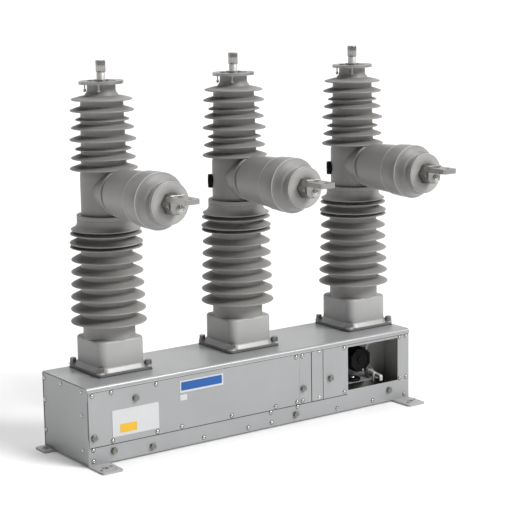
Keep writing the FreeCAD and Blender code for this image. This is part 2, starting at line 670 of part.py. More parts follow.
def group(label, shapes):
    """One node that holds several separate, identical solids."""
    feature = DOC.addObject("Part::Feature", label)
    feature.Label = label
    feature.Shape = Part.makeCompound(shapes)
    LABELS.append(label)


def hex_prism(across, height):
    reach = across / math.sqrt(3)
    corners = [VECTOR(reach * math.cos(math.pi * n / 3), reach * math.sin(math.pi * n / 3)) for n in range(7)]
    prism = Part.Face(Part.makePolygon(corners)).extrude(VECTOR(0, 0, height))
    cone = Part.makeCone(reach + 0.4, reach - 1.2, height)
    return prism.common(cone)


def hex_bolt(across, head, washer_radius, washer_thick, shank_radius, shank_length):
    bolt = Part.makeCylinder(shank_radius, shank_length + washer_thick, VECTOR(0, 0, -shank_length))
    bolt = bolt.fuse(Part.makeCylinder(washer_radius, washer_thick))
    top = hex_prism(across, head)
    top.translate(VECTOR(0, 0, washer_thick))
    return bolt.fuse(top).removeSplitter()


def dome(radius, rise):
    """A low spherical cap on the XY plane."""
    ball_radius = (radius * radius + rise * rise) / (2 * rise)
    ball = Part.makeSphere(ball_radius, VECTOR(0, 0, rise - ball_radius))
    return ball.common(Part.makeCylinder(radius, rise))


def button_screw():
    shank = Part.makeCylinder(DIMENSIONS["screw_shank"], DIMENSIONS["screw_length"] + 0.5,
                              VECTOR(0, 0, -DIMENSIONS["screw_length"]))
    head = dome(DIMENSIONS["screw_head"], DIMENSIONS["screw_dome"])
    return shank.fuse(head).removeSplitter()


def facing(shape, point, outward):
    """A copy of a +Z fastener that stands at the point and faces the outward direction."""
    placed = shape.copy()
    placed.Placement = FreeCAD.Placement(VECTOR(*point), FreeCAD.Rotation(VECTOR(0, 0, 1), VECTOR(*outward)))
    return placed


def base_bolts():
    bolt = hex_bolt(DIMENSIONS["bolt_across"], DIMENSIONS["bolt_head"], DIMENSIONS["washer"],
                    DIMENSIONS["washer_thick"], DIMENSIONS["bolt_shank"], 22 + DIMENSIONS["boss_high"])
    shapes = []
    for _, step in POLES:
        for x, y in bolt_corners():
            point = (pole_x(step).value + x.value, POLE_Y.value + y.value,
                     BLOCK_BOTTOM.value + DIMENSIONS["boss_high"])
            shapes.append(facing(bolt, point, (0, 0, 1)))
    group("base_bolts", shapes)


def flange_nuts():
    """Slender posts that hang from each flange and end in a domed nut."""
    radius, length = DIMENSIONS["nut_radius"], DIMENSIONS["post_length"]
    shank = Part.makeCylinder(DIMENSIONS["nut_shank"], DIMENSIONS["flange_thick"] + length,
                              VECTOR(0, 0, -length))
    nut = dome(radius, radius * 0.8)
    nut.rotate(VECTOR(0, 0, 0), VECTOR(1, 0, 0), 180)
    nut.translate(VECTOR(0, 0, -length))
    nut = nut.fuse(Part.makeCylinder(radius, DIMENSIONS["nut_height"], VECTOR(0, 0, -length))).fuse(shank)
    nut = nut.removeSplitter()
    shapes = []
    for _, step in POLES:
        for x, y in flange_nut_places():
            point = (pole_x(step).value + x.value, POLE_Y.value + y.value, DIMENSIONS["neck_top"])
            shapes.append(facing(nut, point, (0, 0, 1)))
    group("flange_nuts", shapes)


def front_screw_places():
    """Every small screw in the front: (x, z, True when it passes a cover as well as the frame)."""
    for x in COVER_TOP_SCREWS + STRIP_SCREWS + (ACCESS_SCREW,):
        yield x, ROW_HIGH, True
    for x in COVER_LOW_SCREWS + STRIP_SCREWS + (ACCESS_SCREW,):
        yield x, ROW_LOW, True
    for x in FRAME_SCREWS:
        yield x, ROW_HIGH, False
        yield x, ROW_FRAME, False
    for x in RAIL_SCREWS:
        yield x, ROW_RAIL, False
    for x in RAIL_HIGH_SCREWS:
        yield x, ROW_RAIL_HIGH, False


def panel_screws():
    screw = button_screw()
    cover_face, frame_face, back_face = FRONT_Y.value, FRAME_Y.value, BACK_Y.value
    end_face = HALF_LENGTH.value
    shapes = []
    for x, z, covered in front_screw_places():
        face = cover_face if covered else frame_face
        shapes.append(facing(screw, (x, face, z), (0, -1, 0)))
    for x in BACK_SCREWS:
        shapes.append(facing(screw, (x, back_face, ROW_BACK), (0, 1, 0)))
    for inward, z in END_SCREWS:
        for way in (-1, 1):
            shapes.append(facing(screw, (way * end_face, back_face - inward, z), (way, 0, 0)))
    group("panel_screws", shapes)


def panel_bolts():
    bolt = hex_bolt(DIMENSIONS["hex_across"], DIMENSIONS["hex_high"], DIMENSIONS["hex_across"] * 0.62,
                    DIMENSIONS["thin_rim"], DIMENSIONS["hex_shank"], DIMENSIONS["hex_length"])
    shapes = [facing(bolt, (x, FRONT_Y.value, z), (0, -1, 0)) for x, z in COVER_BOLTS]
    shapes += [facing(bolt, (x, FRAME_Y.value, z), (0, -1, 0)) for x, z in RAIL_BOLTS]
    group("panel_bolts", shapes)


def base_gaskets():
    side = DIMENSIONS["plate_side"] - 2
    hole = DIMENSIONS["bolt_shank"] + 0.2
    shapes = []
    for _, step in POLES:
        centre = VECTOR(pole_x(step).value, POLE_Y.value, BOX_TOP.value)
        sheet = Part.makeBox(side, side, DIMENSIONS["gasket"], centre - VECTOR(side / 2, side / 2, 0))
        sheet = sheet.cut(Part.makeCylinder(DIMENSIONS["pole_bore"], DIMENSIONS["gasket"], centre))
        for x, y in bolt_corners():
            corner = centre + VECTOR(x.value, y.value, 0)
            sheet = sheet.cut(Part.makeCylinder(hole, DIMENSIONS["gasket"], corner))
        shapes.append(sheet)
    group("base_gaskets", shapes)


def sensor_plugs():
    radius = DIMENSIONS["plug_radius"] - DIMENSIONS["screw_fit"]
    inner = DIMENSIONS["mid_radius"] - DIMENSIONS["plug_face"]
    shapes = []
    for side, step in POLES:
        if side == "left":
            continue
        start = VECTOR(pole_x(step).value, POLE_Y.value, DIMENSIONS["plug_z"]) + PLUG_WAY * inner
        length = DIMENSIONS["plug_reach"] - inner
        plug = Part.makeCylinder(radius, length, start, PLUG_WAY)
        far = [edge for edge in plug.Edges if len(edge.Vertexes) == 1
               and abs((edge.Vertexes[0].Point - start).dot(PLUG_WAY) - length) < 0.01]
        shapes.append(plug.makeFillet(4, far))
    group("sensor_plugs", shapes)


# ---------------------------------------------------------------- housing

def front_holes(sketch, left, right, covered):
    """Clearance holes for the small screws and hexagon bolts that pass a front sheet."""
    for x, z, passes_cover in front_screw_places():
        if left < x < right and (passes_cover or not covered):
            disc(sketch, d.screw_shank + d.screw_fit, x, z)
    bolts = COVER_BOLTS if covered else COVER_BOLTS + RAIL_BOLTS
    for x, z in bolts:
        if left < x < right:
            disc(sketch, d.hex_shank + d.screw_fit, x, z)


def front_panel(label, left, right, low, high):
    body = new_body(label)
    face = new_sketch(body, "XZ", -(FRONT_Y + d.sheet))
    box_outline(face, left, right, low, high)
    front_holes(face, as_size(left).value, as_size(right).value, True)
    pad(body, face, d.sheet)


def front_frame():
    """The fixed front sheet: a rail along the whole length and a tall part round the window."""
    body = new_body("front_frame")
    high = BOX_TOP - d.lip_height - d.seam
    face = new_sketch(body, "XZ", -(FRAME_Y + d.sheet))
    rail = d.foot_thick + d.rail_height + d.rail_lap
    outline(face, ((-HALF_LENGTH, d.foot_thick), (HALF_LENGTH, d.foot_thick), (HALF_LENGTH, high),
                   (-HALF_LENGTH, high), (-HALF_LENGTH, high - 22), (d.frame_left - 20, high - 22),
                   (d.frame_left - 20, rail), (-HALF_LENGTH, rail)))
    box_outline(face, d.window_left, d.window_right, d.window_bottom, d.window_top)
    for x, z, _ in front_screw_places():
        disc(face, d.screw_shank + d.screw_fit, x, z)
    for x, z in RAIL_BOLTS:
        disc(face, d.hex_shank + d.screw_fit, x, z)
    pad(body, face, d.sheet)


def base_tray():
    body = new_body("base_tray")
    low = d.foot_thick
    front = FRAME_Y + d.sheet
    back = BACK_Y - d.sheet
    profile = new_sketch(body, "YZ", -(HALF_LENGTH - d.sheet))
    outline(profile, ((front, low), (back, low), (back, low + d.rail_height + 10),
                      (back - d.sheet, low + d.rail_height + 10), (back - d.sheet, low + d.sheet),
                      (front, low + d.sheet)))
    pad(body, profile, d.box_length - d.sheet * 2)
    holes = new_sketch(body, "XZ", -back)
    for x in BACK_SCREWS:
        disc(holes, d.screw_shank + d.screw_fit, x, ROW_BACK)
    pocket(body, holes, d.sheet * 2, reverse=True, midplane=True)


def top_cover():
    body = new_body("top_cover")
    low = BOX_TOP - d.sheet
    profile = new_sketch(body, "YZ", -HALF_LENGTH)
    outline(profile, ((FRONT_Y, BOX_TOP - d.lip_height), (FRONT_Y, BOX_TOP), (BACK_Y, BOX_TOP),
                      (BACK_Y, d.foot_thick + d.seam), (BACK_Y - d.sheet, d.foot_thick + d.seam),
                      (BACK_Y - d.sheet, low), (FRONT_Y + d.sheet, low),
                      (FRONT_Y + d.sheet, BOX_TOP - d.lip_height)))
    pad(body, profile, d.box_length)
    top = BOX_TOP.value
    front, back = FRONT_Y.value, BACK_Y.value

    def outer_bend(edge):
        ends = [vertex.Point for vertex in edge.Vertexes]
        return all(abs(p.z - top) < 0.01 and min(abs(p.y - front), abs(p.y - back)) < 0.01 for p in ends) \
            and abs(ends[0].x - ends[-1].x) > 1

    def inner_bend(edge):
        ends = [vertex.Point for vertex in edge.Vertexes]
        sheet = DIMENSIONS["sheet"]
        level = all(abs(p.z - top + sheet) < 0.01 for p in ends)
        corner = all(min(abs(p.y - front - sheet), abs(p.y - back + sheet)) < 0.01 for p in ends)
        return level and corner and abs(ends[0].x - ends[-1].x) > 1

    soften(body, d.bend, outer_bend)
    soften(body, d.bend - d.sheet, inner_bend)
    holes = new_sketch(body, "XY", BOX_TOP + 1)
    for _, step in POLES:
        disc(holes, d.pole_bore, pole_x(step), POLE_Y)
        for x, y in bolt_corners():
            disc(holes, d.bolt_shank + d.screw_fit, pole_x(step) + x, POLE_Y + y)
    pocket(body, holes, d.sheet + 2)
    back_holes = new_sketch(body, "XZ", -(BACK_Y + 1))
    for x in BACK_SCREWS:
        disc(back_holes, d.screw_shank + d.screw_fit, x, ROW_BACK)
    pocket(body, back_holes, d.sheet * 4, midplane=True)


def end_cover(label, way):
    """A folded end sheet with returns that tuck behind the front frame and the back wall."""
    body = new_body(label)
    low = d.foot_thick + d.sheet + d.seam
    high = BOX_TOP - d.sheet - d.seam * 3
    face = HALF_LENGTH * way
    inner = face - d.sheet * way
    deep = face - d.return_width * way
    front = FRAME_Y + d.sheet + d.seam
    back = BACK_Y - d.sheet * 2 - d.seam
    profile = new_sketch(body, "XY", low)
    outline(profile, ((deep, front), (face, front), (face, back), (deep, back), (deep, back - d.sheet),
                      (inner, back - d.sheet), (inner, front + d.sheet), (deep, front + d.sheet)))
    pad(body, profile, high - low)
    outer_x = face.value
    soften(body, d.bend / 3, lambda edge: upright(edge) and abs(edge.Vertexes[0].Point.x - outer_x) < 0.01)
    holes = new_sketch(body, "YZ", face)
    for inward, z in END_SCREWS:
        disc(holes, d.screw_shank + d.screw_fit, BACK_Y - inward, z)
    pocket(body, holes, d.sheet * 4, midplane=True)


def mounting_feet():
    """Two front feet that reach forwards and two back feet that reach sideways."""
    thick = DIMENSIONS["foot_thick"]
    corner = DIMENSIONS["foot_corner"]
    half = HALF_LENGTH.value
    hole = DIMENSIONS["foot_hole"]
    pilot = DIMENSIONS["pilot_hole"]
    shapes = []
    for way in (-1, 1):
        front_low = FRONT_Y.value - DIMENSIONS["foot_reach"]
        plate = flat_plate(way * half, way * (half - DIMENSIONS["foot_width"]), front_low,
                           FRONT_Y.value + DIMENSIONS["foot_inner"], thick, corner)
        hole_x = (half - DIMENSIONS["front_hole_in"]) * way
        hole_y = FRONT_Y.value - DIMENSIONS["front_hole_out"]
        drills = ((hole_x, hole_y, hole), (hole_x - 20 * way, hole_y - 21.5, pilot),
                  (hole_x + 19 * way, hole_y - 17.5, pilot))
        shapes.append(drilled(plate, drills, thick))
        back_low = BACK_Y.value - DIMENSIONS["back_foot_width"]
        plate = flat_plate(way * (half + DIMENSIONS["back_foot_reach"]),
                           way * (half - DIMENSIONS["foot_inner"]), back_low, BACK_Y.value, thick, corner)
        middle = BACK_Y.value - DIMENSIONS["back_foot_width"] / 2
        drills = (((half + DIMENSIONS["back_hole_out"]) * way, middle, hole),
                  ((half + 25) * way, middle - 20, pilot))
        shapes.append(drilled(plate, drills, thick))
    group("mounting_feet", shapes)


def flat_plate(x_one, x_two, low, high, thick, corner):
    left = min(x_one, x_two)
    plate = Part.makeBox(abs(x_two - x_one), high - low, thick, VECTOR(left, low, 0))
    return plate.makeFillet(corner, [edge for edge in plate.Edges if upright(edge)])


def drilled(plate, drills, thick):
    for x, y, radius in drills:
        plate = plate.cut(Part.makeCylinder(radius, thick, VECTOR(x, y, 0)))
    return plate


def label_plate():
    body = new_body("label_plate")
    face = new_sketch(body, "XZ", -FRONT_Y)
    box_outline(face, d.label_left, d.label_right, d.label_bottom, d.label_top)
    pad(body, face, d.label_thick)
    soften(body, 2, lambda edge: edge.Length < 1)


def nameplate():
    thick = DIMENSIONS["label_thick"]
    shapes = []
    for right, low, high in (("name_right", "name_bottom", "name_top"),
                             ("strip_right", "strip_bottom", "strip_top")):
        corner = VECTOR(DIMENSIONS["name_left"], FRONT_Y.value - thick, DIMENSIONS[low])
        shapes.append(Part.makeBox(DIMENSIONS[right] - DIMENSIONS["name_left"], thick,
                                   DIMENSIONS[high] - DIMENSIONS[low], corner))
    group("nameplate", shapes)


def make_housing():
    low = d.foot_thick + d.rail_height
    high = BOX_TOP - d.lip_height - d.seam
    base_tray()
    front_frame()
    front_panel("front_cover", -HALF_LENGTH + 3, d.strip_left, low, high)
    front_panel("joint_strip", d.strip_left + d.seam, d.access_left, low, high)
    front_panel("access_cover", d.access_left + d.seam, d.window_left, low, high)
    top_cover()
    end_cover("left_end_cover", -1)
    end_cover("right_end_cover", 1)
    mounting_feet()
    label_plate()
    nameplate()


# ---------------------------------------------------------------- mechanism

def rotated_crank(x):
    """One crank with its cross pin, drawn level and then dropped by half the swing."""
    arm_thick = DIMENSIONS["arm_thick"]
    crank = DIMENSIONS["crank"]
    half = DIMENSIONS["arm_half"]
    pin_half = arm_thick / 2 + DIMENSIONS["fork_gap"] + DIMENSIONS["ear_thick"] + 1.5
    start = VECTOR(-arm_thick / 2, 0, 0)
    web = Part.makeBox(arm_thick, crank, half * 2, start - VECTOR(0, 0, half))
    end = Part.makeCylinder(half, arm_thick, start + VECTOR(0, crank, 0), VECTOR(1, 0, 0))
    boss = Part.makeCylinder(DIMENSIONS["shaft_radius"] + 6, arm_thick, start, VECTOR(1, 0, 0))
    pin = Part.makeCylinder(DIMENSIONS["pin_radius"], pin_half * 2, VECTOR(-pin_half, crank, 0),
                            VECTOR(1, 0, 0))
    lever = web.fuse([end, boss, pin])
    lever.rotate(VECTOR(0, 0, 0), VECTOR(1, 0, 0), -DIMENSIONS["half_swing"])
    lever.translate(VECTOR(x, SHAFT_Y.value, DIMENSIONS["shaft_z"]))
    return lever


def main_shaft():
    left, right = DIMENSIONS["shaft_left"], DIMENSIONS["shaft_right"]
    start = VECTOR(left, SHAFT_Y.value, DIMENSIONS["shaft_z"])
    shaft = Part.makeCylinder(DIMENSIONS["shaft_radius"], right - left, start, VECTOR(1, 0, 0))
    levers = [rotated_crank(pole_x(step).value) for _, step in POLES]
    levers.append(rotated_crank(DIMENSIONS["drive_x"]))
    group("main_shaft", [shaft.fuse(levers).removeSplitter()])


def shaft_bearings():
    """Pillow blocks that stand on the floor of the tray."""
    wide, half = DIMENSIONS["bearing_width"], DIMENSIONS["bearing_half"]
    floor = DIMENSIONS["foot_thick"] + DIMENSIONS["sheet"]
    height = DIMENSIONS["shaft_z"] + half - floor
    shapes = []
    for x in (DIMENSIONS["shaft_left"] + 6, *MIDDLE_BEARINGS, DIMENSIONS["shaft_right"] - wide - 6):
        block = Part.makeBox(wide, half * 2, height, VECTOR(x, SHAFT_Y.value - half, floor))
        bore = Part.makeCylinder(DIMENSIONS["shaft_radius"] + DIMENSIONS["fit"], wide,
                                 VECTOR(x, SHAFT_Y.value, DIMENSIONS["shaft_z"]), VECTOR(1, 0, 0))
        shapes.append(block.cut(bore))
    group("shaft_bearings", shapes)


def actuator_body():
    body = new_body("actuator_body", (d.drive_x, POLE_Y, 0))
    low = d.foot_thick + d.sheet
    inner = d.plunger_radius + d.fit
    turned_profile(body, ((0, low), (d.magnet_radius, low), (d.magnet_radius, d.magnet_top - 12),
                          (d.magnet_radius - 8, d.magnet_top - 12), (d.magnet_radius - 8, d.magnet_top),
                          (inner, d.magnet_top), (inner, d.plunger_bottom - 8), (0, d.plunger_bottom - 8)))


def actuator_plunger():
    body = new_body("actuator_plunger", (d.drive_x, POLE_Y, 0))
    turned_profile(body, ((0, d.plunger_bottom), (d.plunger_radius, d.plunger_bottom),
                          (d.plunger_radius, d.fork_bottom - 8), (0, d.fork_bottom - 8)))
    inner = d.arm_thick / 2 + d.fork_gap
    outer = inner + d.ear_thick
    yoke = new_sketch(body, "XY", d.fork_bottom - 12)
    box_outline(yoke, -outer, outer, -d.fork_half, d.fork_half)
    pad(body, yoke, d.fork_top - d.fork_bottom + 12)
    gap = new_sketch(body, "YZ", 0)
    box_outline(gap, -(d.fork_half + 1), d.fork_half + 1, d.fork_bottom, d.fork_bridge)
    pocket(body, gap, inner * 2, midplane=True)
    slot = new_sketch(body, "YZ", 0, (PIN_Y - POLE_Y, PIN_Z))
    wide = d.pin_radius + 1
    tall = d.pin_radius + d.fit
    box_outline(slot, -wide, wide, -tall, tall)
    pocket(body, slot, outer * 3, midplane=True)
    seat = new_sketch(body, "XY", d.fork_top - 1)
    disc(seat, d.seat_radius)
    pad(body, seat, d.seat_thick)


def opening_spring():
    low = (d.fork_top + d.seat_thick).value - 1 + 0.3
    high = (BOX_TOP - d.sheet).value - 0.3
    centre = (DIMENSIONS["drive_x"], POLE_Y.value)
    helix("opening_spring", DIMENSIONS["return_spring_radius"], DIMENSIONS["return_spring_wire"], low, high,
          OPENING_COILS, centre)


def compartment_wall():
    """The folded sheet that closes off the operator's compartment behind the window."""
    body = new_body("compartment_wall")
    low = d.foot_thick + d.sheet + d.seam
    high = BOX_TOP - d.sheet - d.seam * 3
    front = FRAME_Y + d.sheet + d.seam
    left, right = d.wall_left, d.wall_right
    plan = new_sketch(body, "XY", low)
    outline(plan, ((left, front), (left + d.sheet, front), (left + d.sheet, d.wall_back - d.sheet),
                   (right - d.sheet, d.wall_back - d.sheet), (right - d.sheet, front), (right, front),
                   (right, d.wall_back), (left, d.wall_back)))
    pad(body, plan, high - low)
    hole = new_sketch(body, "XZ", -d.wall_back, (d.cap_x, d.cap_z))
    disc(hole, d.stem_radius + 6)
    pocket(body, hole, d.sheet * 4, midplane=True)


def receptacle():
    """The control receptacle with its ribbed octagonal dust cap."""
    body = new_body("receptacle")
    back = d.wall_back - d.sheet
    reach = d.cap_half / math.cos(math.pi / 8)
    cap = new_sketch(body, "XZ", -back, (d.cap_x, d.cap_z))
    corners = []
    for number in range(8):
        angle = math.radians(22.5 + 45 * number)
        corners.append((reach * round(math.cos(angle), 6), reach * round(math.sin(angle), 6)))
    outline(cap, corners)
    pad(body, cap, d.cap_reach)
    socket = new_sketch(body, "XZ", -back, (d.cap_x, d.cap_z))
    disc(socket, d.stem_radius + 5.8)
    pad(body, socket, d.sheet * 5, reverse=True)


def receptacle_bracket():
    """The shelf that carries the gland and the pivot ears of the trip lever."""
    body = new_body("receptacle_bracket")
    back = d.wall_back - d.sheet
    shelf = new_sketch(body, "XY", d.shelf_z - d.sheet)
    box_outline(shelf, d.shelf_left, d.shelf_right, d.shelf_front, back)
    pad(body, shelf, d.sheet)
    gap = d.lever_width / 2 + d.clearance
    ears = new_sketch(body, "YZ", d.lever_x, (d.lever_y, d.lever_z))
    box_outline(ears, -9, 9, -(d.lever_z - d.shelf_z) - 1, 9)
    pad(body, ears, gap * 2 + 6, midplane=True)
    slit = new_sketch(body, "YZ", d.lever_x, (d.lever_y, d.lever_z))
    box_outline(slit, -12, 12, -(d.lever_z - d.shelf_z), 12)
    pocket(body, slit, gap * 2, midplane=True)
    pin = new_sketch(body, "YZ", d.lever_x, (d.lever_y, d.lever_z))
    disc(pin, d.lever_pin)
    pad(body, pin, gap * 2 + 10, midplane=True)
    holes = new_sketch(body, "XY", d.shelf_z + 1)
    disc(holes, d.stem_radius + d.screw_fit, d.gland_x, d.gland_y)
    box_outline(holes, d.lever_x - gap, d.lever_x + gap, d.shelf_front - 1, d.lever_y - 10)
    pocket(body, holes, d.sheet + 2)


def cable_gland():
    body = new_body("cable_gland", (d.gland_x, d.gland_y, 0))
    low = d.shelf_z
    turned_profile(body, ((0, low - 10), (d.stem_radius, low - 10), (d.stem_radius, low),
                          (d.gland_radius, low), (d.gland_radius, low + d.gland_high - 2),
                          (d.gland_radius - 2, low + d.gland_high), (8, low + d.gland_high),
                          (8, low + d.gland_high + 3), (0, low + d.gland_high + 3)))


def trip_lever():
    """A hooked hand lever on its pivot: two cheeks drawn in one piece, with a pull ring at the end."""
    body = new_body("trip_lever")
    reach, drop = d.lever_reach, d.lever_drop
    side = new_sketch(body, "YZ", d.lever_x, (d.lever_y, d.lever_z))
    outline(side, ((6, -7), (8, 5), (2, 8), (-7, 6), (-reach, -drop + 10), (-reach - 2, -drop - 2),
                   (-reach + 6, -drop - 3), (-6, -8)))
    pad(body, side, d.lever_width, midplane=True)
    bore = new_sketch(body, "YZ", d.lever_x, (d.lever_y, d.lever_z))
    disc(bore, d.lever_pin + d.fit)
    pocket(body, bore, d.lever_width * 2, midplane=True)
    window = new_sketch(body, "XY", d.lever_z, (d.lever_x, d.lever_y))
    slot = d.lever_width / 2 - 3
    box_outline(window, -slot, slot, -reach + 5, -13)
    pocket(body, window, d.lever_z, midplane=True)


def make_mechanism():
    main_shaft()
    shaft_bearings()
    actuator_body()
    actuator_plunger()
    opening_spring()
    compartment_wall()
    receptacle()
    receptacle_bracket()
    cable_gland()
    trip_lever()


# ---------------------------------------------------------------- build, check and write

def check_objects():
    DOC.recompute()
    for item in DOC.Objects:
        if "Invalid" in item.State or "Error" in item.State:
            raise RuntimeError(f"{item.Label} of {item.getParentGeoFeatureGroup()} failed: {item.State}")


def write_parts():
    os.makedirs("parts", exist_ok=True)
    for label in LABELS:
        shape = DOC.getObjectsByLabel(label)[0].Shape
        if shape.isNull() or not shape.isValid():
            raise RuntimeError(f"{label}: the shape is null or not valid")
        shape.exportStep(f"parts/{label}.step")
        print(label, len(shape.Solids), "solids", round(shape.Volume / 1000, 1), "cm3")
    print(len(LABELS), "nodes")


for side_name, side_step in POLES:
    make_pole(side_name, side_step)
base_bolts()
base_gaskets()
flange_nuts()
sensor_plugs()
make_housing()
panel_screws()
panel_bolts()
make_mechanism()
check_objects()
write_parts()
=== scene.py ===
import json
import math
import bmesh
import bpy
from mathutils import Matrix, Vector


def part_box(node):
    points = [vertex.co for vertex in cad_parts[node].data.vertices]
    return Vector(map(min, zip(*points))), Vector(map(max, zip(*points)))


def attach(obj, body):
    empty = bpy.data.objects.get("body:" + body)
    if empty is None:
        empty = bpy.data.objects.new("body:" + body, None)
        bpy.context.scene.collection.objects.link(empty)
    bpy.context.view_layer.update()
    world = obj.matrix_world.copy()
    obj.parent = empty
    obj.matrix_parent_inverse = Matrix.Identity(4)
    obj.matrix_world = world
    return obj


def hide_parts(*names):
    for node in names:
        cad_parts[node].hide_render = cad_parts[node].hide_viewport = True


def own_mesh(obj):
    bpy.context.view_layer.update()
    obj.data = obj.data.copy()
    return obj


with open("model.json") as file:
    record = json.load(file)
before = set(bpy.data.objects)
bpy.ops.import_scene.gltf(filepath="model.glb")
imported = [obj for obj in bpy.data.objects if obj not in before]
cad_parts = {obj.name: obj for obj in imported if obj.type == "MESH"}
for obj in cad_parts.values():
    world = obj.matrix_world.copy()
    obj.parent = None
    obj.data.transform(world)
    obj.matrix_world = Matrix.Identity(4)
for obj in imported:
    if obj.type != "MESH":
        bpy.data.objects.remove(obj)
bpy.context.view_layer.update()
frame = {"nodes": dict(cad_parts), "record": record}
NODES = frame["nodes"]
NODE_SLOTS = {row["node"]: row["material_slot"] for row in frame["record"]["subparts"]}
SIDES = ("left", "centre", "right")
FRONT, BACK, LEFT, RIGHT = (0, -1, 0), (0, 1, 0), (-1, 0, 0), (1, 0, 0)
MM = 0.001


# ---------------------------------------------------------------- materials

EDGE_ROUNDING = 0.6 * MM
RELIEF_DEPTH = 0.6 * MM
GLOSS_SWING = 0.07
WEAR_AND_HIGHLIGHT_GAIN = 4
EDGE_BEGINS, EDGE_FULL = 0.99, 0.80


def add_node(tree, kind, **values):
    """Add a shader node. A value is a property of the node or, with underscores for spaces, an input."""
    node = tree.nodes.new(kind)
    for key, value in values.items():
        if hasattr(node, key):
            setattr(node, key, value)
        else:
            node.inputs[key.replace("_", " ")].default_value = value
    return node


def map_range(tree, source, to_low, to_high, from_low=0.0, from_high=1.0):
    """Carry a value over from one span to another, and stop at its ends."""
    node = add_node(tree, "ShaderNodeMapRange", From_Min=from_low, From_Max=from_high, To_Min=to_low,
                    To_Max=to_high)
    tree.links.new(source, node.inputs["Value"])
    return node.outputs["Result"]


def shade(colour, factor):
    """An opaque colour that is lighter or darker by a factor."""
    return tuple(min(1.0, channel * factor) for channel in colour) + (1.0,)


def grey(value, warm=0.0):
    return (value * (1 + warm), value, value * (1 - warm * 1.3))


def surface(name, colour, rough, metal=0.0, patch=0.08, patch_scale=9.0, grain=0.05, grain_scale=420.0,
            bump=0.03, wear_and_highlight=0.18, wear_and_highlight_width=0.9 * MM, streak=None, specular=0.5):
    """A procedural finish: soft patches, fine grain, brighter edges that are partly wear and partly a painted
    highlight, uneven gloss and a little bump.
    """
    material = bpy.data.materials.new(name)
    material.use_nodes = True
    tree = material.node_tree
    link = tree.links.new
    shader = tree.nodes["Principled BSDF"]
    shader.inputs["Metallic"].default_value = metal
    shader.inputs["Specular IOR Level"].default_value = specular

    place = add_node(tree, "ShaderNodeTexCoord")
    stretch = add_node(tree, "ShaderNodeMapping", Scale=streak or (1, 1, 1))
    broad = add_node(tree, "ShaderNodeTexNoise", Scale=patch_scale, Detail=4.0, Roughness=0.6)
    fine = add_node(tree, "ShaderNodeTexNoise", Scale=grain_scale, Detail=3.0, Roughness=0.7)
    link(place.outputs["Object"], stretch.inputs["Vector"])
    link(place.outputs["Object"], broad.inputs["Vector"])
    link(stretch.outputs["Vector"], fine.inputs["Vector"])

    tint = add_node(tree, "ShaderNodeValToRGB")
    for element, position, factor in zip(tint.color_ramp.elements, (0.3, 0.7), (1 - patch, 1 + patch)):
        element.position = position
        element.color = shade(colour, factor)
    link(broad.outputs["Fac"], tint.inputs["Fac"])
    speck = add_node(tree, "ShaderNodeMix", data_type="RGBA", blend_type="MULTIPLY")
    speck.inputs[0].default_value = 1.0
    link(tint.outputs["Color"], speck.inputs[6])
    link(map_range(tree, fine.outputs["Fac"], 1 - grain, 1 + grain), speck.inputs[7])

    # Edges are lightened in patches: partly wear, partly a painted highlight where a rounded edge would catch
    # the light.
    soft = add_node(tree, "ShaderNodeBevel", samples=4, Radius=wear_and_highlight_width)
    plain = add_node(tree, "ShaderNodeNewGeometry")
    aligned = add_node(tree, "ShaderNodeVectorMath", operation="DOT_PRODUCT")
    link(soft.outputs["Normal"], aligned.inputs[0])
    link(plain.outputs["Normal"], aligned.inputs[1])
    wear_and_highlight_mask = add_node(tree, "ShaderNodeMath", operation="MULTIPLY")
    link(map_range(tree, aligned.outputs["Value"], 0.0, 1.0, EDGE_BEGINS, EDGE_FULL), wear_and_highlight_mask.inputs[0])
    link(broad.outputs["Fac"], wear_and_highlight_mask.inputs[1])
    worn_and_highlit = add_node(tree, "ShaderNodeMix", data_type="RGBA")
    worn_and_highlit.inputs[7].default_value = shade(colour, 1 + wear_and_highlight * WEAR_AND_HIGHLIGHT_GAIN)
    link(wear_and_highlight_mask.outputs["Value"], worn_and_highlit.inputs[0])
    link(speck.outputs[2], worn_and_highlit.inputs[6])
    link(worn_and_highlit.outputs[2], shader.inputs["Base Color"])

    glossy, dull = max(0.05, rough - GLOSS_SWING), min(1.0, rough + GLOSS_SWING)
    link(map_range(tree, fine.outputs["Fac"], glossy, dull), shader.inputs["Roughness"])
    rounded = add_node(tree, "ShaderNodeBevel", samples=4, Radius=EDGE_ROUNDING)
    relief = add_node(tree, "ShaderNodeBump", Strength=bump, Distance=RELIEF_DEPTH)
    link(fine.outputs["Fac"], relief.inputs["Height"])
    link(rounded.outputs["Normal"], relief.inputs["Normal"])
    link(relief.outputs["Normal"], shader.inputs["Normal"])
    return material


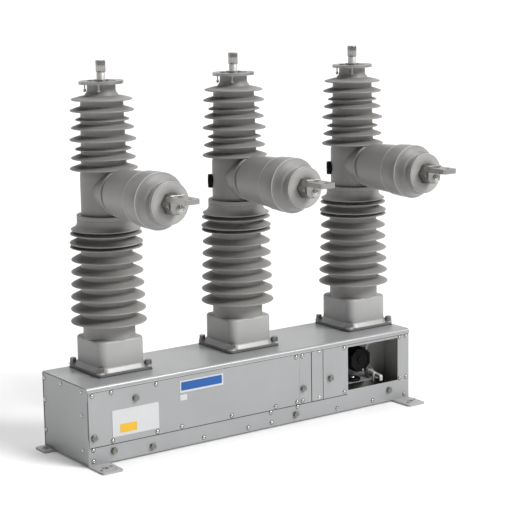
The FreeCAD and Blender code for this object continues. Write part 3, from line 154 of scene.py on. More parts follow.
LOOKS = {
    # The wide bright edges of insulator, bushing and housing_sheet are painted highlights on the shed rims,
    # the barrel's rings and the cover's lip.
    "insulator": dict(colour=grey(0.268, 0.03), rough=0.50, patch=0.07, bump=0.05, wear_and_highlight=0.22,
                      wear_and_highlight_width=3 * MM),
    "bushing": dict(colour=grey(0.262, 0.02), rough=0.40, patch=0.05, bump=0.05, wear_and_highlight=0.28,
                    wear_and_highlight_width=3 * MM),
    "housing_sheet": dict(colour=(0.375, 0.38, 0.385), rough=0.34, metal=0.25, patch=0.04, patch_scale=5.0,
                          grain=0.03, grain_scale=900.0, bump=0.04, wear_and_highlight=0.2, wear_and_highlight_width=1.6 * MM,
                          specular=0.6),
    "cast_plate": dict(colour=(0.41, 0.41, 0.405), rough=0.40, patch=0.04, grain=0.06, bump=0.08, wear_and_highlight=0.2),
    "terminal": dict(colour=(0.34, 0.333, 0.32), rough=0.32, metal=1.0, grain=0.12, streak=(1, 1, 6),
                     bump=0.08, wear_and_highlight=0.12),
    "flange_metal": dict(colour=(0.31, 0.31, 0.30), rough=0.40, metal=0.85, patch=0.10, grain=0.12,
                         bump=0.14),
    "fastener": dict(colour=(0.36, 0.36, 0.35), rough=0.30, metal=0.95, patch=0.15, patch_scale=60.0,
                     grain=0.15, bump=0.10, wear_and_highlight=0.3, wear_and_highlight_width=0.6 * MM),
    "dark_plug": dict(colour=(0.004, 0.004, 0.0045), rough=0.58, patch=0.2, grain=0.1, bump=0.06, wear_and_highlight=0.5,
                      specular=0.12),
    "gasket": dict(colour=(0.022, 0.022, 0.022), rough=0.75, patch=0.2, grain=0.2, bump=0.2, wear_and_highlight=0.1),
    "bottle": dict(colour=(0.72, 0.70, 0.66), rough=0.25, patch=0.03, grain=0.02, bump=0.02, wear_and_highlight=0.05),
    "copper": dict(colour=(0.62, 0.32, 0.18), rough=0.30, metal=1.0, patch=0.12, grain=0.1, bump=0.06),
    "push_rod": dict(colour=(0.42, 0.29, 0.13), rough=0.45, patch=0.1, grain=0.2, streak=(6, 6, 0.6),
                     bump=0.08),
    "mechanism": dict(colour=(0.38, 0.38, 0.38), rough=0.32, metal=1.0, patch=0.1, grain=0.15,
                      streak=(0.5, 6, 6), bump=0.08, wear_and_highlight=0.2),
    "magnet": dict(colour=(0.035, 0.037, 0.04), rough=0.45, patch=0.15, grain=0.1, bump=0.08, wear_and_highlight=0.5),
    "spring_steel": dict(colour=(0.22, 0.22, 0.23), rough=0.3, metal=1.0, patch=0.1, grain=0.1, bump=0.05),
    "inner_sheet": dict(colour=(0.27, 0.267, 0.26), rough=0.5, patch=0.1, grain=0.08, bump=0.08, wear_and_highlight=0.4),
    # A lighter copy of the bushing colour for the cap's face: a painted highlight where the face turns to the
    # light.
    "cap_face": dict(colour=grey(0.38, 0.02), rough=0.42, patch=0.05, bump=0.05, wear_and_highlight=0.1),
    # A light grey for the beads on the barrel's rings and on the cover's lip: painted highlight lines.
    "painted_highlight_bead": dict(colour=grey(0.47, 0.02), rough=0.36, patch=0.05, grain=0.06, bump=0.04, wear_and_highlight=0.1),
    "lever_sheet": dict(colour=(0.46, 0.455, 0.44), rough=0.50, metal=0.1, patch=0.12, grain=0.1, bump=0.08,
                        wear_and_highlight=0.3),
    # A much lighter copy of the stud's metal for its neck: a painted sheen.
    "stud_neck": dict(colour=(0.70, 0.695, 0.68), rough=0.32, metal=0.3, grain=0.08, bump=0.05, wear_and_highlight=0.2),
    "stud_head": dict(colour=(0.36, 0.35, 0.34), rough=0.2, metal=0.95, patch=0.1, grain=0.1, bump=0.05,
                      wear_and_highlight=0.35),
    "label_white": dict(colour=(0.63, 0.635, 0.64), rough=0.3, patch=0.02, grain=0.02, bump=0.02, wear_and_highlight=0.02),
    "name_blue": dict(colour=(0.006, 0.095, 0.36), rough=0.45, patch=0.06, grain=0.03, bump=0.02, wear_and_highlight=0.05),
    "symbol_yellow": dict(colour=(0.80, 0.47, 0.02), rough=0.35, patch=0.04, grain=0.03, bump=0.02,
                          wear_and_highlight=0.05),
    "shelf_grey": dict(colour=(0.24, 0.24, 0.24), rough=0.42, grain=0.08, bump=0.08, wear_and_highlight=0.4),
    "bright_screw": dict(colour=(0.52, 0.52, 0.51), rough=0.26, metal=1.0, patch=0.1, grain=0.1, bump=0.06,
                         wear_and_highlight=0.2),
    "dark_metal": dict(colour=(0.22, 0.215, 0.20), rough=0.34, metal=0.9, patch=0.15, grain=0.15, bump=0.12,
                       wear_and_highlight=0.35, wear_and_highlight_width=1.2 * MM),
    "plate_edge": dict(colour=(0.16, 0.16, 0.158), rough=0.42, metal=0.3, patch=0.1, grain=0.12, bump=0.1,
                       wear_and_highlight=0.4),
    "bright_cast": dict(colour=(0.33, 0.33, 0.325), rough=0.40, metal=0.2, patch=0.06, grain=0.06, bump=0.06,
                        wear_and_highlight=0.15),
    "seam_shadow": dict(colour=(0.06, 0.06, 0.06), rough=0.7, patch=0.1, grain=0.1, bump=0.1, wear_and_highlight=0.1),
}
FINISH = {slot: surface(slot, **look) for slot, look in LOOKS.items()}


def paint(piece, slot):
    piece.data.materials.clear()
    piece.data.materials.append(FINISH[slot])


def smooth(mesh, sharp):
    """Smooth shading, with hard edges where faces meet at more than an angle in degrees."""
    for polygon in mesh.polygons:
        polygon.use_smooth = True
    mesh.set_sharp_from_angle(angle=math.radians(sharp))


for node_name, cad_piece in NODES.items():
    paint(cad_piece, NODE_SLOTS[node_name])
    smooth(cad_piece.data, 32)


# ---------------------------------------------------------------- building pieces

def as_piece(name, bm, slot, body="housing", node=None, sharp=38):
    """Turn a bmesh into a finished piece that rides on a body and may stand for a CAD node."""
    mesh = bpy.data.meshes.new(name)
    bmesh.ops.remove_doubles(bm, verts=bm.verts, dist=1e-6)
    bmesh.ops.recalc_face_normals(bm, faces=bm.faces)
    bm.to_mesh(mesh)
    bm.free()
    smooth(mesh, sharp)
    piece = bpy.data.objects.new(name, mesh)
    bpy.context.scene.collection.objects.link(piece)
    paint(piece, slot)
    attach(piece, body)
    if node:
        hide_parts(node)
    return piece


def in_metres(points):
    """Profile points that are written in millimetres."""
    return [(one * MM, two * MM) for one, two in points]


def z_place(x, y, z=0.0):
    """A placement that only moves."""
    return Matrix.Translation((x, y, z))


def facing(point, outward):
    """A placement whose local Z points outward."""
    turned = Vector((0, 0, 1)).rotation_difference(Vector(outward)).to_matrix().to_4x4()
    return Matrix.Translation(point) @ turned


def arc(centre, radius, start, stop, count=6):
    """Points on an arc in the profile plane, angles in degrees from the outward direction."""
    points = []
    for step in range(count + 1):
        angle = math.radians(start + (stop - start) * step / count)
        points.append((centre[0] + radius * math.cos(angle), centre[1] + radius * math.sin(angle)))
    return points


def shaped_ring(bm, place, height, steps, radius_at):
    """A ring of points about the local Z whose radius is a function of the angle."""
    ring = []
    for step in range(steps):
        angle = 2 * math.pi * step / steps
        radius = radius_at(angle)
        point = (radius * math.cos(angle), radius * math.sin(angle), height)
        ring.append(bm.verts.new(place @ Vector(point)))
    return ring


def rounded_ring(bm, place, half, corner, height, per_corner=10):
    """A square ring with round corners about the local Z."""
    ring = []
    for quarter in range(4):
        centre_angle = math.pi / 4 + quarter * math.pi / 2
        sign_x, sign_y = math.copysign(1, math.cos(centre_angle)), math.copysign(1, math.sin(centre_angle))
        for step in range(per_corner + 1):
            angle = quarter * math.pi / 2 + math.pi / 2 * step / per_corner
            x = sign_x * (half - corner) + corner * math.cos(angle)
            y = sign_y * (half - corner) + corner * math.sin(angle)
            ring.append(bm.verts.new(place @ Vector((x, y, height))))
    return ring


def stack(bm, rings, close_top=True, close_bottom=True):
    """Join rings of equal count one after the other, and close the ends."""
    for one, two in zip(rings, rings[1:]):
        count = len(one)
        for step in range(count):
            after = (step + 1) % count
            bm.faces.new((one[step], one[after], two[after], two[step]))
    if close_bottom:
        bm.faces.new(list(reversed(rings[0])))
    if close_top:
        bm.faces.new(rings[-1])


def turn(bm, profile, place, steps=96):
    """Revolve (radius, height) points about the local Z of the placement matrix."""
    rings = []
    for radius, height in profile:
        if radius < 1e-7:
            rings.append([bm.verts.new(place @ Vector((0, 0, height)))])
        else:
            rings.append(shaped_ring(bm, place, height, steps, lambda angle: radius))
    for one, two in zip(rings, rings[1:]):
        for step in range(steps):
            after = (step + 1) % steps
            corners = (one[step % len(one)], one[after % len(one)],
                       two[after % len(two)], two[step % len(two)])
            unique = list(dict.fromkeys(corners))
            if len(unique) > 2:
                bm.faces.new(unique)


def flat_part(bm, outline, start, stop, axis):
    """A flat part: an outline of (a, b) pairs, given thickness along one axis."""
    rings = []
    for level in (start, stop):
        ring = []
        for one, two in outline:
            spot = {"x": (level, one, two), "y": (one, level, two)}[axis]
            ring.append(bm.verts.new(spot))
        rings.append(ring)
    stack(bm, rings)


def round_edges(bm, size):
    bmesh.ops.recalc_face_normals(bm, faces=bm.faces)
    bmesh.ops.bevel(bm, geom=list(bm.edges), offset=size, segments=2, affect="EDGES", profile=0.6,
                    clamp_overlap=True)


def hexagon_head(bm, place, across, height, bevel=1.2 * MM):
    """A hexagon head with a chamfered crown and a slightly dished top."""
    reach = across / math.sqrt(3)

    def hexagon(angle):
        return reach * math.cos(math.pi / 6) / math.cos(angle % (math.pi / 3) - math.pi / 6)

    rings = []
    for limit, level in ((reach, 0.0), (reach, height - bevel), (reach - bevel * 1.3, height),
                         (reach * 0.62, height), (reach * 0.56, height - 0.4 * MM)):
        rings.append(shaped_ring(bm, place, level, 36, lambda angle: min(hexagon(angle), limit)))
    stack(bm, rings)


def washer(bm, place, radius, thick):
    """A disc with softened edges."""
    edge = min(0.5 * MM, thick * 0.3)
    turn(bm, [(0, 0), (radius - edge * 0.4, 0), (radius, edge), (radius, thick - edge),
              (radius - edge, thick), (0, thick)], place, 40)


def tile(name, left, right, low, high, front, thick, slot):
    """A thin plate with round corners, standing on the front face at y = front."""
    bm = bmesh.new()
    corner = min(2 * MM, (high - low) * 0.2)
    corners = ((right - corner, high - corner, 0), (left + corner, high - corner, 90),
               (left + corner, low + corner, 180), (right - corner, low + corner, 270))
    rings = []
    for inset, y in ((0.0, front), (0.0, front - thick * 0.7), (thick * 0.3, front - thick)):
        ring = []
        for centre_x, centre_z, start in corners:
            for x, z in arc((centre_x, centre_z), corner - inset, start, start + 90, 5):
                ring.append(bm.verts.new((x, y, z)))
        rings.append(ring)
    stack(bm, rings)
    return as_piece(name, bm, slot)


# ---------------------------------------------------------------- insulators

ROUND = 128
BLOCK_HALF, BLOCK_CORNER, BLOCK_TOP = 76 * MM, 26 * MM, 328 * MM
CORE_LOW, CORE_HIGH, CORE_UPPER = 75 * MM, 73 * MM, 60.5 * MM
RIM, THIN_RIM = 2.2 * MM, 1.6 * MM
LOW_SHED_RISE = 13 * MM
LOW_SHEDS = [((553 - 36 * number) * MM, (102 + 1.5 * number) * MM) for number in range(6)]
# height and radius in millimetres; the sheds under THIN_BELOW are the thin ones between the full ones
HIGH_SHEDS = [(1009, 86.5), (978, 91), (952, 76.5), (929, 89), (896, 94.5), (869, 80), (844, 91.5),
              (814, 96.5)]
THIN_BELOW = 85


def shed_profile(height, radius, rise, core, rim, below=None):
    """A weather shed from its upper root to its lower one: domed top, round drip rim, hollow underside."""
    run = radius - rim - core
    fillet = min(2.5 * MM, run * 0.2)
    lean = math.degrees(math.atan2(rise * 1.35, run))

    def on_top(part):
        return radius - rim - run * part, height + rim + rise * (1.35 * part - 0.35 * part * part)

    points = [(core, height + rise + rim + fillet),
              (core + fillet * 0.25, height + rise + rim + fillet * 0.25),
              on_top(1 - fillet / run), on_top(0.5), on_top(0.22)]
    points += arc((radius - rim, height), rim, 90 - lean, -92, 9)
    under = below or core
    points += [(radius - rim * 2.2, height - rim + 0.8 * MM),
               (under + fillet * 1.4, height - rim + rise * 0.22),
               (under + fillet * 0.4, height - rim + rise * 0.18), (under, height - rim - fillet * 0.2)]
    return points


def lower_profile():
    """The collar round the joint, a flared rim, a full shed between two thin discs, six even sheds and the
    root in the foot block."""
    points = in_metres([(68.9, 681), (70, 682.6), (80.5, 683), (82.5, 681.5), (82.5, 672), (81.2, 671.2),
                        (81.2, 670.2), (82.5, 669.4), (82.6, 658), (85, 652), (90, 646.5)])
    points += arc((98.4 * MM, 641 * MM), THIN_RIM, 70, -90, 6)
    points += [(88 * MM, 640.2 * MM), (CORE_HIGH, 639 * MM)]
    for height, radius, rise, rim in ((628, 103, 4.5, THIN_RIM), (602, 105, 12, RIM),
                                      (590, 104, 3.5, THIN_RIM)):
        points += shed_profile(height * MM, radius * MM, rise * MM, CORE_HIGH, rim)
    for height, radius in LOW_SHEDS:
        points += shed_profile(height, radius, LOW_SHED_RISE, CORE_HIGH + (CORE_LOW - CORE_HIGH) * 0.5, RIM)
    points += [(CORE_LOW, 350 * MM), (CORE_LOW, BLOCK_TOP + 2 * MM),
               (CORE_LOW + 0.6 * MM, BLOCK_TOP + 0.4 * MM), (CORE_LOW, BLOCK_TOP - 4 * MM)]
    return points


def upper_profile():
    """The neck under the flange, the eight sheds and the plain part that the side bushing leaves from."""
    points = in_metres([(12.5, 1052), (38.5, 1052), (40.5, 1050.5), (40.5, 1036), (42, 1029), (46, 1024.5)])
    for number, (height, radius) in enumerate(HIGH_SHEDS):
        core, below = (60.5 + number * 0.6) * MM, None
        if number == 0:
            core, below = 47 * MM, CORE_UPPER
        rise, rim = (4.5 * MM, THIN_RIM) if radius < THIN_BELOW else (9 * MM, RIM)
        points += shed_profile(height * MM, radius * MM, rise, core, rim, below)
    points += in_metres([(66, 806), (68.6, 798), (69, 790), (69, 679), (60, 679)])
    return points


def barrel_profile():
    """Along the bushing, with the distance from the pole's axis as height."""
    return in_metres([
        (59.5, 33), (60, 34), (60, 83.4), (60.4, 83.9), (64.8, 84), (65.7, 84.4), (66, 85.2), (66, 90.8),
        (65.6, 91.7), (64.8, 92), (62.4, 92.2), (61.2, 93.2), (61, 95), (61, 102), (61.6, 103.4), (63, 104),
        (65.6, 104.2), (67.6, 105.2), (68.7, 107), (69, 109.4), (74.8, 229), (75, 229.8), (76.4, 230.4),
        (77, 231.4), (77.2, 233), (79.5, 264), (79.5, 293.6), (79.1, 295.4), (78.1, 296.6), (76.4, 297.8),
        (74, 300), (71.6, 304), (69.4, 309), (67.4, 315), (65.6, 320), (64.6, 322.4), (63, 323.4),
        (58, 324.2), (56.4, 325.4), (56, 327.4), (56, 333.4), (58, 333.8), (58.8, 334.6), (59, 336),
        (59, 347.2), (58.3, 349.3), (56.6, 350), (27, 350), (25.6, 349.2), (24, 349.2), (22, 350),
        (14.2, 350), (14.2, 340)])


def pole_axis(side):
    low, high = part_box(f"top_terminal_{side}")
    return (low.x + high.x) / 2, (low.y + high.y) / 2


def bushing_place(side):
    """On the pole's axis at the bushing's height, with local Z along the bushing."""
    x, y = pole_axis(side)
    low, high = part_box(f"side_bushing_{side}")
    return facing((x, y, (low.z + high.z) / 2), FRONT)


def ribbed_lower(side):
    bm = bmesh.new()
    turn(bm, lower_profile(), z_place(*pole_axis(side)), ROUND)
    as_piece(f"ribbed_lower_{side}", bm, "insulator", node=f"lower_insulator_{side}")


def foot_block(side):
    """The square block under the sheds, with round corners and a round top edge."""
    place = z_place(*pole_axis(side))
    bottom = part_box(f"lower_insulator_{side}")[0].z
    bm = bmesh.new()
    rings = []
    for inset, z in ((0.6 * MM, bottom), (0.0, bottom + 1 * MM), (0.0, BLOCK_TOP - 7 * MM),
                     (0.5 * MM, BLOCK_TOP - 4.4 * MM), (2.0 * MM, BLOCK_TOP - 2.1 * MM),
                     (4.4 * MM, BLOCK_TOP - 0.5 * MM), (7 * MM, BLOCK_TOP)):
        rings.append(rounded_ring(bm, place, BLOCK_HALF - inset, BLOCK_CORNER - inset, z))
    stack(bm, rings)
    as_piece(f"foot_block_{side}", bm, "cast_plate", node=f"lower_insulator_{side}")


def foot_fillet(side):
    """The hollow curve between the block and its base plate."""
    place = z_place(*pole_axis(side))
    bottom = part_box(f"lower_insulator_{side}")[0].z
    bm = bmesh.new()
    rings = []
    for spread, z in in_metres([(0.2, 15.5), (1.6, 14.4), (4.6, 11.4), (6.2, 8.6), (7.8, 5.2), (9.6, 2.2),
                                (10.8, 1.0), (11.2, 0.2), (0.2, 0.2)]):
        rings.append(rounded_ring(bm, place, BLOCK_HALF + spread, BLOCK_CORNER + spread, bottom + z))
    stack(bm, rings, close_top=False, close_bottom=False)
    as_piece(f"foot_fillet_{side}", bm, "bright_cast", sharp=60)


def ribbed_upper(side):
    bm = bmesh.new()
    turn(bm, upper_profile(), z_place(*pole_axis(side)), ROUND)
    as_piece(f"ribbed_upper_{side}", bm, "insulator", node=f"upper_housing_{side}")


def side_bushing(side):
    """The barrel, the rounded beads at its edges, lighter than the barrel so that they paint the highlight
    lines of its rings, and the face of its cap in a lighter copy of the barrel's colour, a painted highlight.
    """
    place = bushing_place(side)
    barrel, beads, face = bmesh.new(), bmesh.new(), bmesh.new()
    turn(barrel, barrel_profile(), place, ROUND)
    as_piece(f"barrel_{side}", barrel, "bushing", node=f"side_bushing_{side}")
    # The beads are lighter than the barrel: painted highlight lines on the ring edges.
    for radius, along, size in ((76.5, 231.8, 1.2), (78.6, 295.2, 1.4), (58.3, 348.6, 1.3)):
        turn(beads, arc((radius * MM, along * MM), size * MM, -60, 150, 8), place, ROUND)
    as_piece(f"barrel_beads_{side}", beads, "painted_highlight_bead", sharp=60)
    # The cap's face is a lighter copy of the barrel's colour: a painted highlight.
    turn(face, in_metres([(27.2, 349.6), (27.6, 350.2), (55.8, 350.2), (56.4, 349.8)]), place, ROUND)
    as_piece(f"cap_face_{side}", face, "cap_face", sharp=60)


# ---------------------------------------------------------------- terminals

STUD_NECK, STUD_HEAD, HEAD_LENGTH = 12.3 * MM, 14.3 * MM, 34 * MM
FLUTES, FLUTE_DEPTH = 12, 1.3 * MM
PAD_LENGTH = 72 * MM


def top_stud(side):
    """The clamp stud: a plain neck whose much lighter finish is a painted sheen, and a head with rounded
    flutes.
    """
    low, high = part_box(f"top_terminal_{side}")
    place = z_place(*pole_axis(side))
    under = high.z - HEAD_LENGTH
    neck, head = bmesh.new(), bmesh.new()
    turn(neck, [(0, low.z), (STUD_NECK, low.z), (STUD_NECK, under - 2 * MM), (11.4 * MM, under - 0.6 * MM),
                (11.4 * MM, under)], place, 64)
    # The neck's light finish paints the sheen of the metal.
    as_piece(f"stud_neck_{side}", neck, "stud_neck", node=f"top_terminal_{side}", sharp=50)

    def fluted(angle, inset):
        return STUD_HEAD - inset - FLUTE_DEPTH * max(0.0, math.cos(angle * FLUTES)) ** 1.5

    rings = []
    for inset, drop in in_metres([(2.2, 34), (0.6, 33.6), (0.0, 32.6), (0.0, 2.0), (0.6, 0.8), (2.0, 0.0)]):
        rings.append(shaped_ring(head, place, high.z - drop, 168, lambda angle: fluted(angle, inset)))
    stack(head, rings)
    as_piece(f"stud_{side}", head, "stud_head", node=f"top_terminal_{side}", sharp=50)


def clamp_details(side):
    """The hexagon collar, the ridges and the round-headed bolt of the side terminal."""
    low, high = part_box(f"side_terminal_{side}")
    bushing_low, bushing_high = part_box(f"side_bushing_{side}")
    x, z = (low.x + high.x) / 2, (bushing_low.z + bushing_high.z) / 2
    cap = bushing_low.y
    face = low.y + PAD_LENGTH
    seat = 1.2 * MM
    collar, ridges, bolt = bmesh.new(), bmesh.new(), bmesh.new()
    turn(collar, [(0, 0), (24 * MM, 0), (24 * MM, seat), (0, seat)], facing((x, cap, z), FRONT), 64)
    hexagon_head(collar, facing((x, cap - seat, z), FRONT), 54 * MM, 31 * MM, 3 * MM)
    as_piece(f"clamp_collar_{side}", collar, "dark_metal", sharp=30)
    outline = in_metres([(0, 22.6), (0, 24.2), (-1.0, 26.2), (-2.0, 26.2), (-2.9, 24.2), (-2.9, 22.6)])
    for number in range(3):
        near = face + (6.2 - number * 3.9) * MM
        flat_part(ridges, [(near + along, z + up) for along, up in outline], x - 23 * MM, x + 23 * MM, "x")
    as_piece(f"clamp_ridges_{side}", ridges, "dark_metal", sharp=25)
    place = facing((x + 7.7 * MM, face, z - 11.5 * MM), FRONT)
    washer(bolt, place, 13 * MM, 2.4 * MM)
    turn(bolt, in_metres([(10.4, 2.4), (10.5, 4), (9.8, 6.4), (8, 8.6), (5.4, 9.8), (3.4, 10.1), (3.1, 8),
                          (0, 7.8)]), place, 40)
    as_piece(f"clamp_bolt_{side}", bolt, "bright_screw", sharp=40)


# ---------------------------------------------------------------- springs and base bolts

WIRE_SIDES, STEPS_PER_TURN = 10, 28
BOLT_REACH = 79 * MM
BOSS_HIGH = 5 * MM
WASHER_THICK = 2.4 * MM


def coil(name, centre, radius, wire, turns, body, node):
    """A round-wire compression spring that rides on a body and stands for a CAD node."""
    low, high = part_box(node)
    bottom, top = low.z + wire / 2, high.z - wire / 2
    steps = turns * STEPS_PER_TURN
    bm = bmesh.new()
    rings = []
    for step in range(steps + 1):
        part = step / steps
        angle = 2 * math.pi * turns * part
        out = Vector((math.cos(angle), math.sin(angle), 0))
        middle = Vector((centre[0], centre[1], bottom + (top - bottom) * part)) + out * radius
        ring = []
        for number in range(WIRE_SIDES):
            turned = 2 * math.pi * number / WIRE_SIDES
            ring.append(bm.verts.new(middle + out * (wire / 2 * math.cos(turned))
                                     + Vector((0, 0, wire / 2 * math.sin(turned)))))
        rings.append(ring)
    stack(bm, rings)
    piece = as_piece(name, bm, "spring_steel", body, node, sharp=60)
    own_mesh(piece)


def base_bolts():
    """Hexagon bolts on washers and cast bosses at the corners of each base plate."""
    bolts, bosses = bmesh.new(), bmesh.new()
    for side in SIDES:
        x, y = pole_axis(side)
        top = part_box(f"lower_insulator_{side}")[0].z + BOSS_HIGH
        for number, (way_x, way_y) in enumerate(((-1, -1), (-1, 1), (1, -1), (1, 1))):
            turned = Matrix.Rotation(0.35 + number * 0.61, 4, "Z")
            place = z_place(x + way_x * BOLT_REACH, y + way_y * BOLT_REACH, top) @ turned
            washer(bolts, place, 10.6 * MM, WASHER_THICK)
            hexagon_head(bolts, place @ z_place(0, 0, WASHER_THICK), 18 * MM, 11.6 * MM, 2 * MM)
            turn(bolts, in_metres([(0, -9), (5, -9), (5, 0)]), place, 24)
            turn(bosses, in_metres([(0, -5), (12.6, -5), (12.2, -4.2), (11.2, -2), (10.8, 0), (0, 0)]),
                 place, 40)
    as_piece("corner_bolts", bolts, "dark_metal", node="base_bolts", sharp=30)
    as_piece("bolt_bosses", bosses, "cast_plate")


for side_name in SIDES:
    ribbed_lower(side_name)
    foot_block(side_name)
    foot_fillet(side_name)
    ribbed_upper(side_name)
    side_bushing(side_name)
    top_stud(side_name)
    clamp_details(side_name)
    coil(f"contact_coil_{side_name}", pole_axis(side_name), 13 * MM, 3 * MM, 6, f"drive_{side_name}",
         f"contact_spring_{side_name}")
base_bolts()
spring_low, spring_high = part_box("opening_spring")
coil("opening_coil", ((spring_low.x + spring_high.x) / 2, (spring_low.y + spring_high.y) / 2), 14 * MM,
     4 * MM, 4, "housing", "opening_spring")


# ---------------------------------------------------------------- housing screws

def islands(node):
    """The separate solids of a CAD node, as (lowest corner, highest corner) pairs."""
    mesh = NODES[node].data
    parent = list(range(len(mesh.vertices)))
    by_place = {}

    def root(number):
        while parent[number] != number:
            parent[number] = parent[parent[number]]
            number = parent[number]
        return number

    for vertex in mesh.vertices:
        key = tuple(round(value, 5) for value in vertex.co)
        parent[root(vertex.index)] = root(by_place.setdefault(key, vertex.index))
    for cad_edge in mesh.edges:
        parent[root(cad_edge.vertices[0])] = root(cad_edge.vertices[1])
    groups = {}
    for vertex in mesh.vertices:
        groups.setdefault(root(vertex.index), []).append(vertex.co)
    boxes = []
    for places in groups.values():
        low = Vector([min(place[axis] for place in places) for axis in range(3)])
        high = Vector([max(place[axis] for place in places) for axis in range(3)])
        boxes.append((low, high))
    return sorted(boxes, key=lambda pair: tuple(pair[0]))


def outward_of(low, high):
    """The way a panel fastener faces: out of the nearest side of the housing."""
    middle = (low + high) / 2
    box_low, box_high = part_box("top_cover")
    reach = {FRONT: middle.y - box_low.y, BACK: box_high.y - middle.y,
             LEFT: middle.x - box_low.x, RIGHT: box_high.x - middle.x}
    return min(reach, key=reach.get)


def head_place(low, high, head):
    """Where the underside of a fastener's head sits, from its solid's box."""
    outward = Vector(outward_of(low, high))
    middle = (low + high) / 2
    half = Vector([abs(outward[axis]) * (high[axis] - low[axis]) / 2 for axis in range(3)])
    tip = middle + Vector([outward[axis] * half[axis] for axis in range(3)])
    return facing(tip - outward * head, outward)


def panel_screws():
    """Button-head screws with a socket, each on a thin dark ring that paints the shadow round its head."""
    screws, shadow_rings = bmesh.new(), bmesh.new()
    for number, (low, high) in enumerate(islands("panel_screws")):
        place = head_place(low, high, 3.6 * MM) @ Matrix.Rotation(number * 1.3, 4, "Z")
        turn(screws, in_metres([(0, -5), (2.5, -5), (2.5, 0), (6.2, 0), (6.2, 0.5), (5.7, 1.5), (4.8, 2.5),
                                (3.8, 3.2), (2.9, 3.55), (2.2, 3.6), (2.0, 1.6), (0, 1.5)]), place, 24)
        # A thin dark ring under each head paints its shadow outline.
        washer(shadow_rings, place, 7.2 * MM, 0.5 * MM)
    as_piece("button_screws", screws, "bright_screw", node="panel_screws", sharp=50)
    as_piece("screw_shadow_rings", shadow_rings, "seam_shadow")


def panel_bolts():
    """Hexagon bolts on washers in the front panels."""
    washer_thick, head_high = 1.6 * MM, 6.5 * MM
    bm = bmesh.new()
    for number, (low, high) in enumerate(islands("panel_bolts")):
        place = head_place(low, high, washer_thick + head_high) @ Matrix.Rotation(number * 0.7, 4, "Z")
        washer(bm, place, 10.5 * MM, washer_thick)
        hexagon_head(bm, place @ z_place(0, 0, washer_thick), 17 * MM, head_high)
    as_piece("hexagon_bolts", bm, "dark_metal", node="panel_bolts", sharp=30)


panel_screws()
panel_bolts()


# ---------------------------------------------------------------- plates, seams and feet

SEAM_THICK = 0.25 * MM
FIELD_THICK = 0.5 * MM


def plain_plates():
    """Generic markings: colour fields without any lettering or symbol."""
    low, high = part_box("label_plate")
    wide, tall = high.x - low.x, high.z - low.z
    tile("label_field", low.x + wide * 0.16, low.x + wide * 0.52, low.z + tall * 0.12, low.z + tall * 0.44,
         low.y, FIELD_THICK, "symbol_yellow")
    low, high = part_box("nameplate")
    tall = high.z - low.z
    tile("name_field", low.x + 4 * MM, high.x - 22 * MM, low.z + tall * 0.5, high.z - 4 * MM, low.y,
         FIELD_THICK, "name_blue")
    tile("name_blank", low.x + 24 * MM, high.x + 0.4 * MM, low.z - 0.4 * MM, low.z + tall * 0.3, low.y,
         0.4 * MM, "housing_sheet")


def seam_lines():
    """Dark strips that paint the shadow in the gaps round the front covers, under the top cover's lip and
    beside the lap in the joint strip; a light bead that paints the highlight on the lip's lower edge; and the
    lap itself.
    """
    low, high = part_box("front_cover")
    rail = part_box("front_frame")[0].y
    strip_low, strip_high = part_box("joint_strip")
    access_low, access_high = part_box("access_cover")
    lip_low, lip_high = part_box("top_cover")
    tile("gap_below", low.x, access_high.x, low.z - 3.2 * MM, low.z, rail, 0.5 * MM, "seam_shadow")
    tile("gap_upright", access_low.x - 0.6 * MM, access_low.x + 0.3 * MM, low.z, high.z, low.y, SEAM_THICK,
         "seam_shadow")
    tile("gap_above", low.x, lip_high.x - 4 * MM, high.z - 0.9 * MM, high.z + 0.5 * MM, low.y, SEAM_THICK,
         "seam_shadow")
    # A light bead along the lip's lower edge paints its highlight.
    tile("lip_bead", lip_low.x + 3 * MM, lip_high.x - 3 * MM, high.z + 0.8 * MM, high.z + 3.2 * MM, lip_low.y,
         1.6 * MM, "painted_highlight_bead")
    lap = strip_low.x + (strip_high.x - strip_low.x) * 0.52
    tile("strip_lap", lap, strip_high.x - 0.4 * MM, low.z + 0.5 * MM, high.z - 1.2 * MM, low.y, 1.0 * MM,
         "housing_sheet")
    tile("lap_gap", lap - 0.9 * MM, lap, low.z, high.z - 1.2 * MM, low.y, SEAM_THICK, "seam_shadow")


def feet_details():
    """A dark bush in each foot hole, and two small screws on the front feet."""
    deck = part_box("mounting_feet")[1].z
    bushes, screws = bmesh.new(), bmesh.new()
    for mount in frame["record"]["mounts"]:
        if mount["name"] not in ("front_feet", "back_feet"):
            continue
        middle, apart = mount["pos_m"], mount["dims"]["spacing_x_mm"] * MM / 2
        for way in (-1, 1):
            x, y = middle[0] + way * apart, middle[1]
            turn(bushes, in_metres([(7.2, -1), (7.2, 0.9), (9.6, 0.9), (10.2, 0.3), (10.2, 0)]),
                 z_place(x, y, deck), 40)
            if mount["name"] == "back_feet":
                continue
            for across, along in in_metres([(-20, -12), (22, 6)]):
                turn(screws, in_metres([(4.2, 0), (4.2, 0.9), (3, 2.1), (1.4, 2.5), (1.2, 1.3), (0, 1.2)]),
                     z_place(x + across, y + along, deck), 24)
    as_piece("foot_bushes", bushes, "dark_metal", sharp=40)
    as_piece("foot_screws", screws, "dark_metal", sharp=40)


# ---------------------------------------------------------------- the operator's compartment

CAP_RIBS, CAP_STEPS, RIB_HIGH = 32, 192, 1.2 * MM


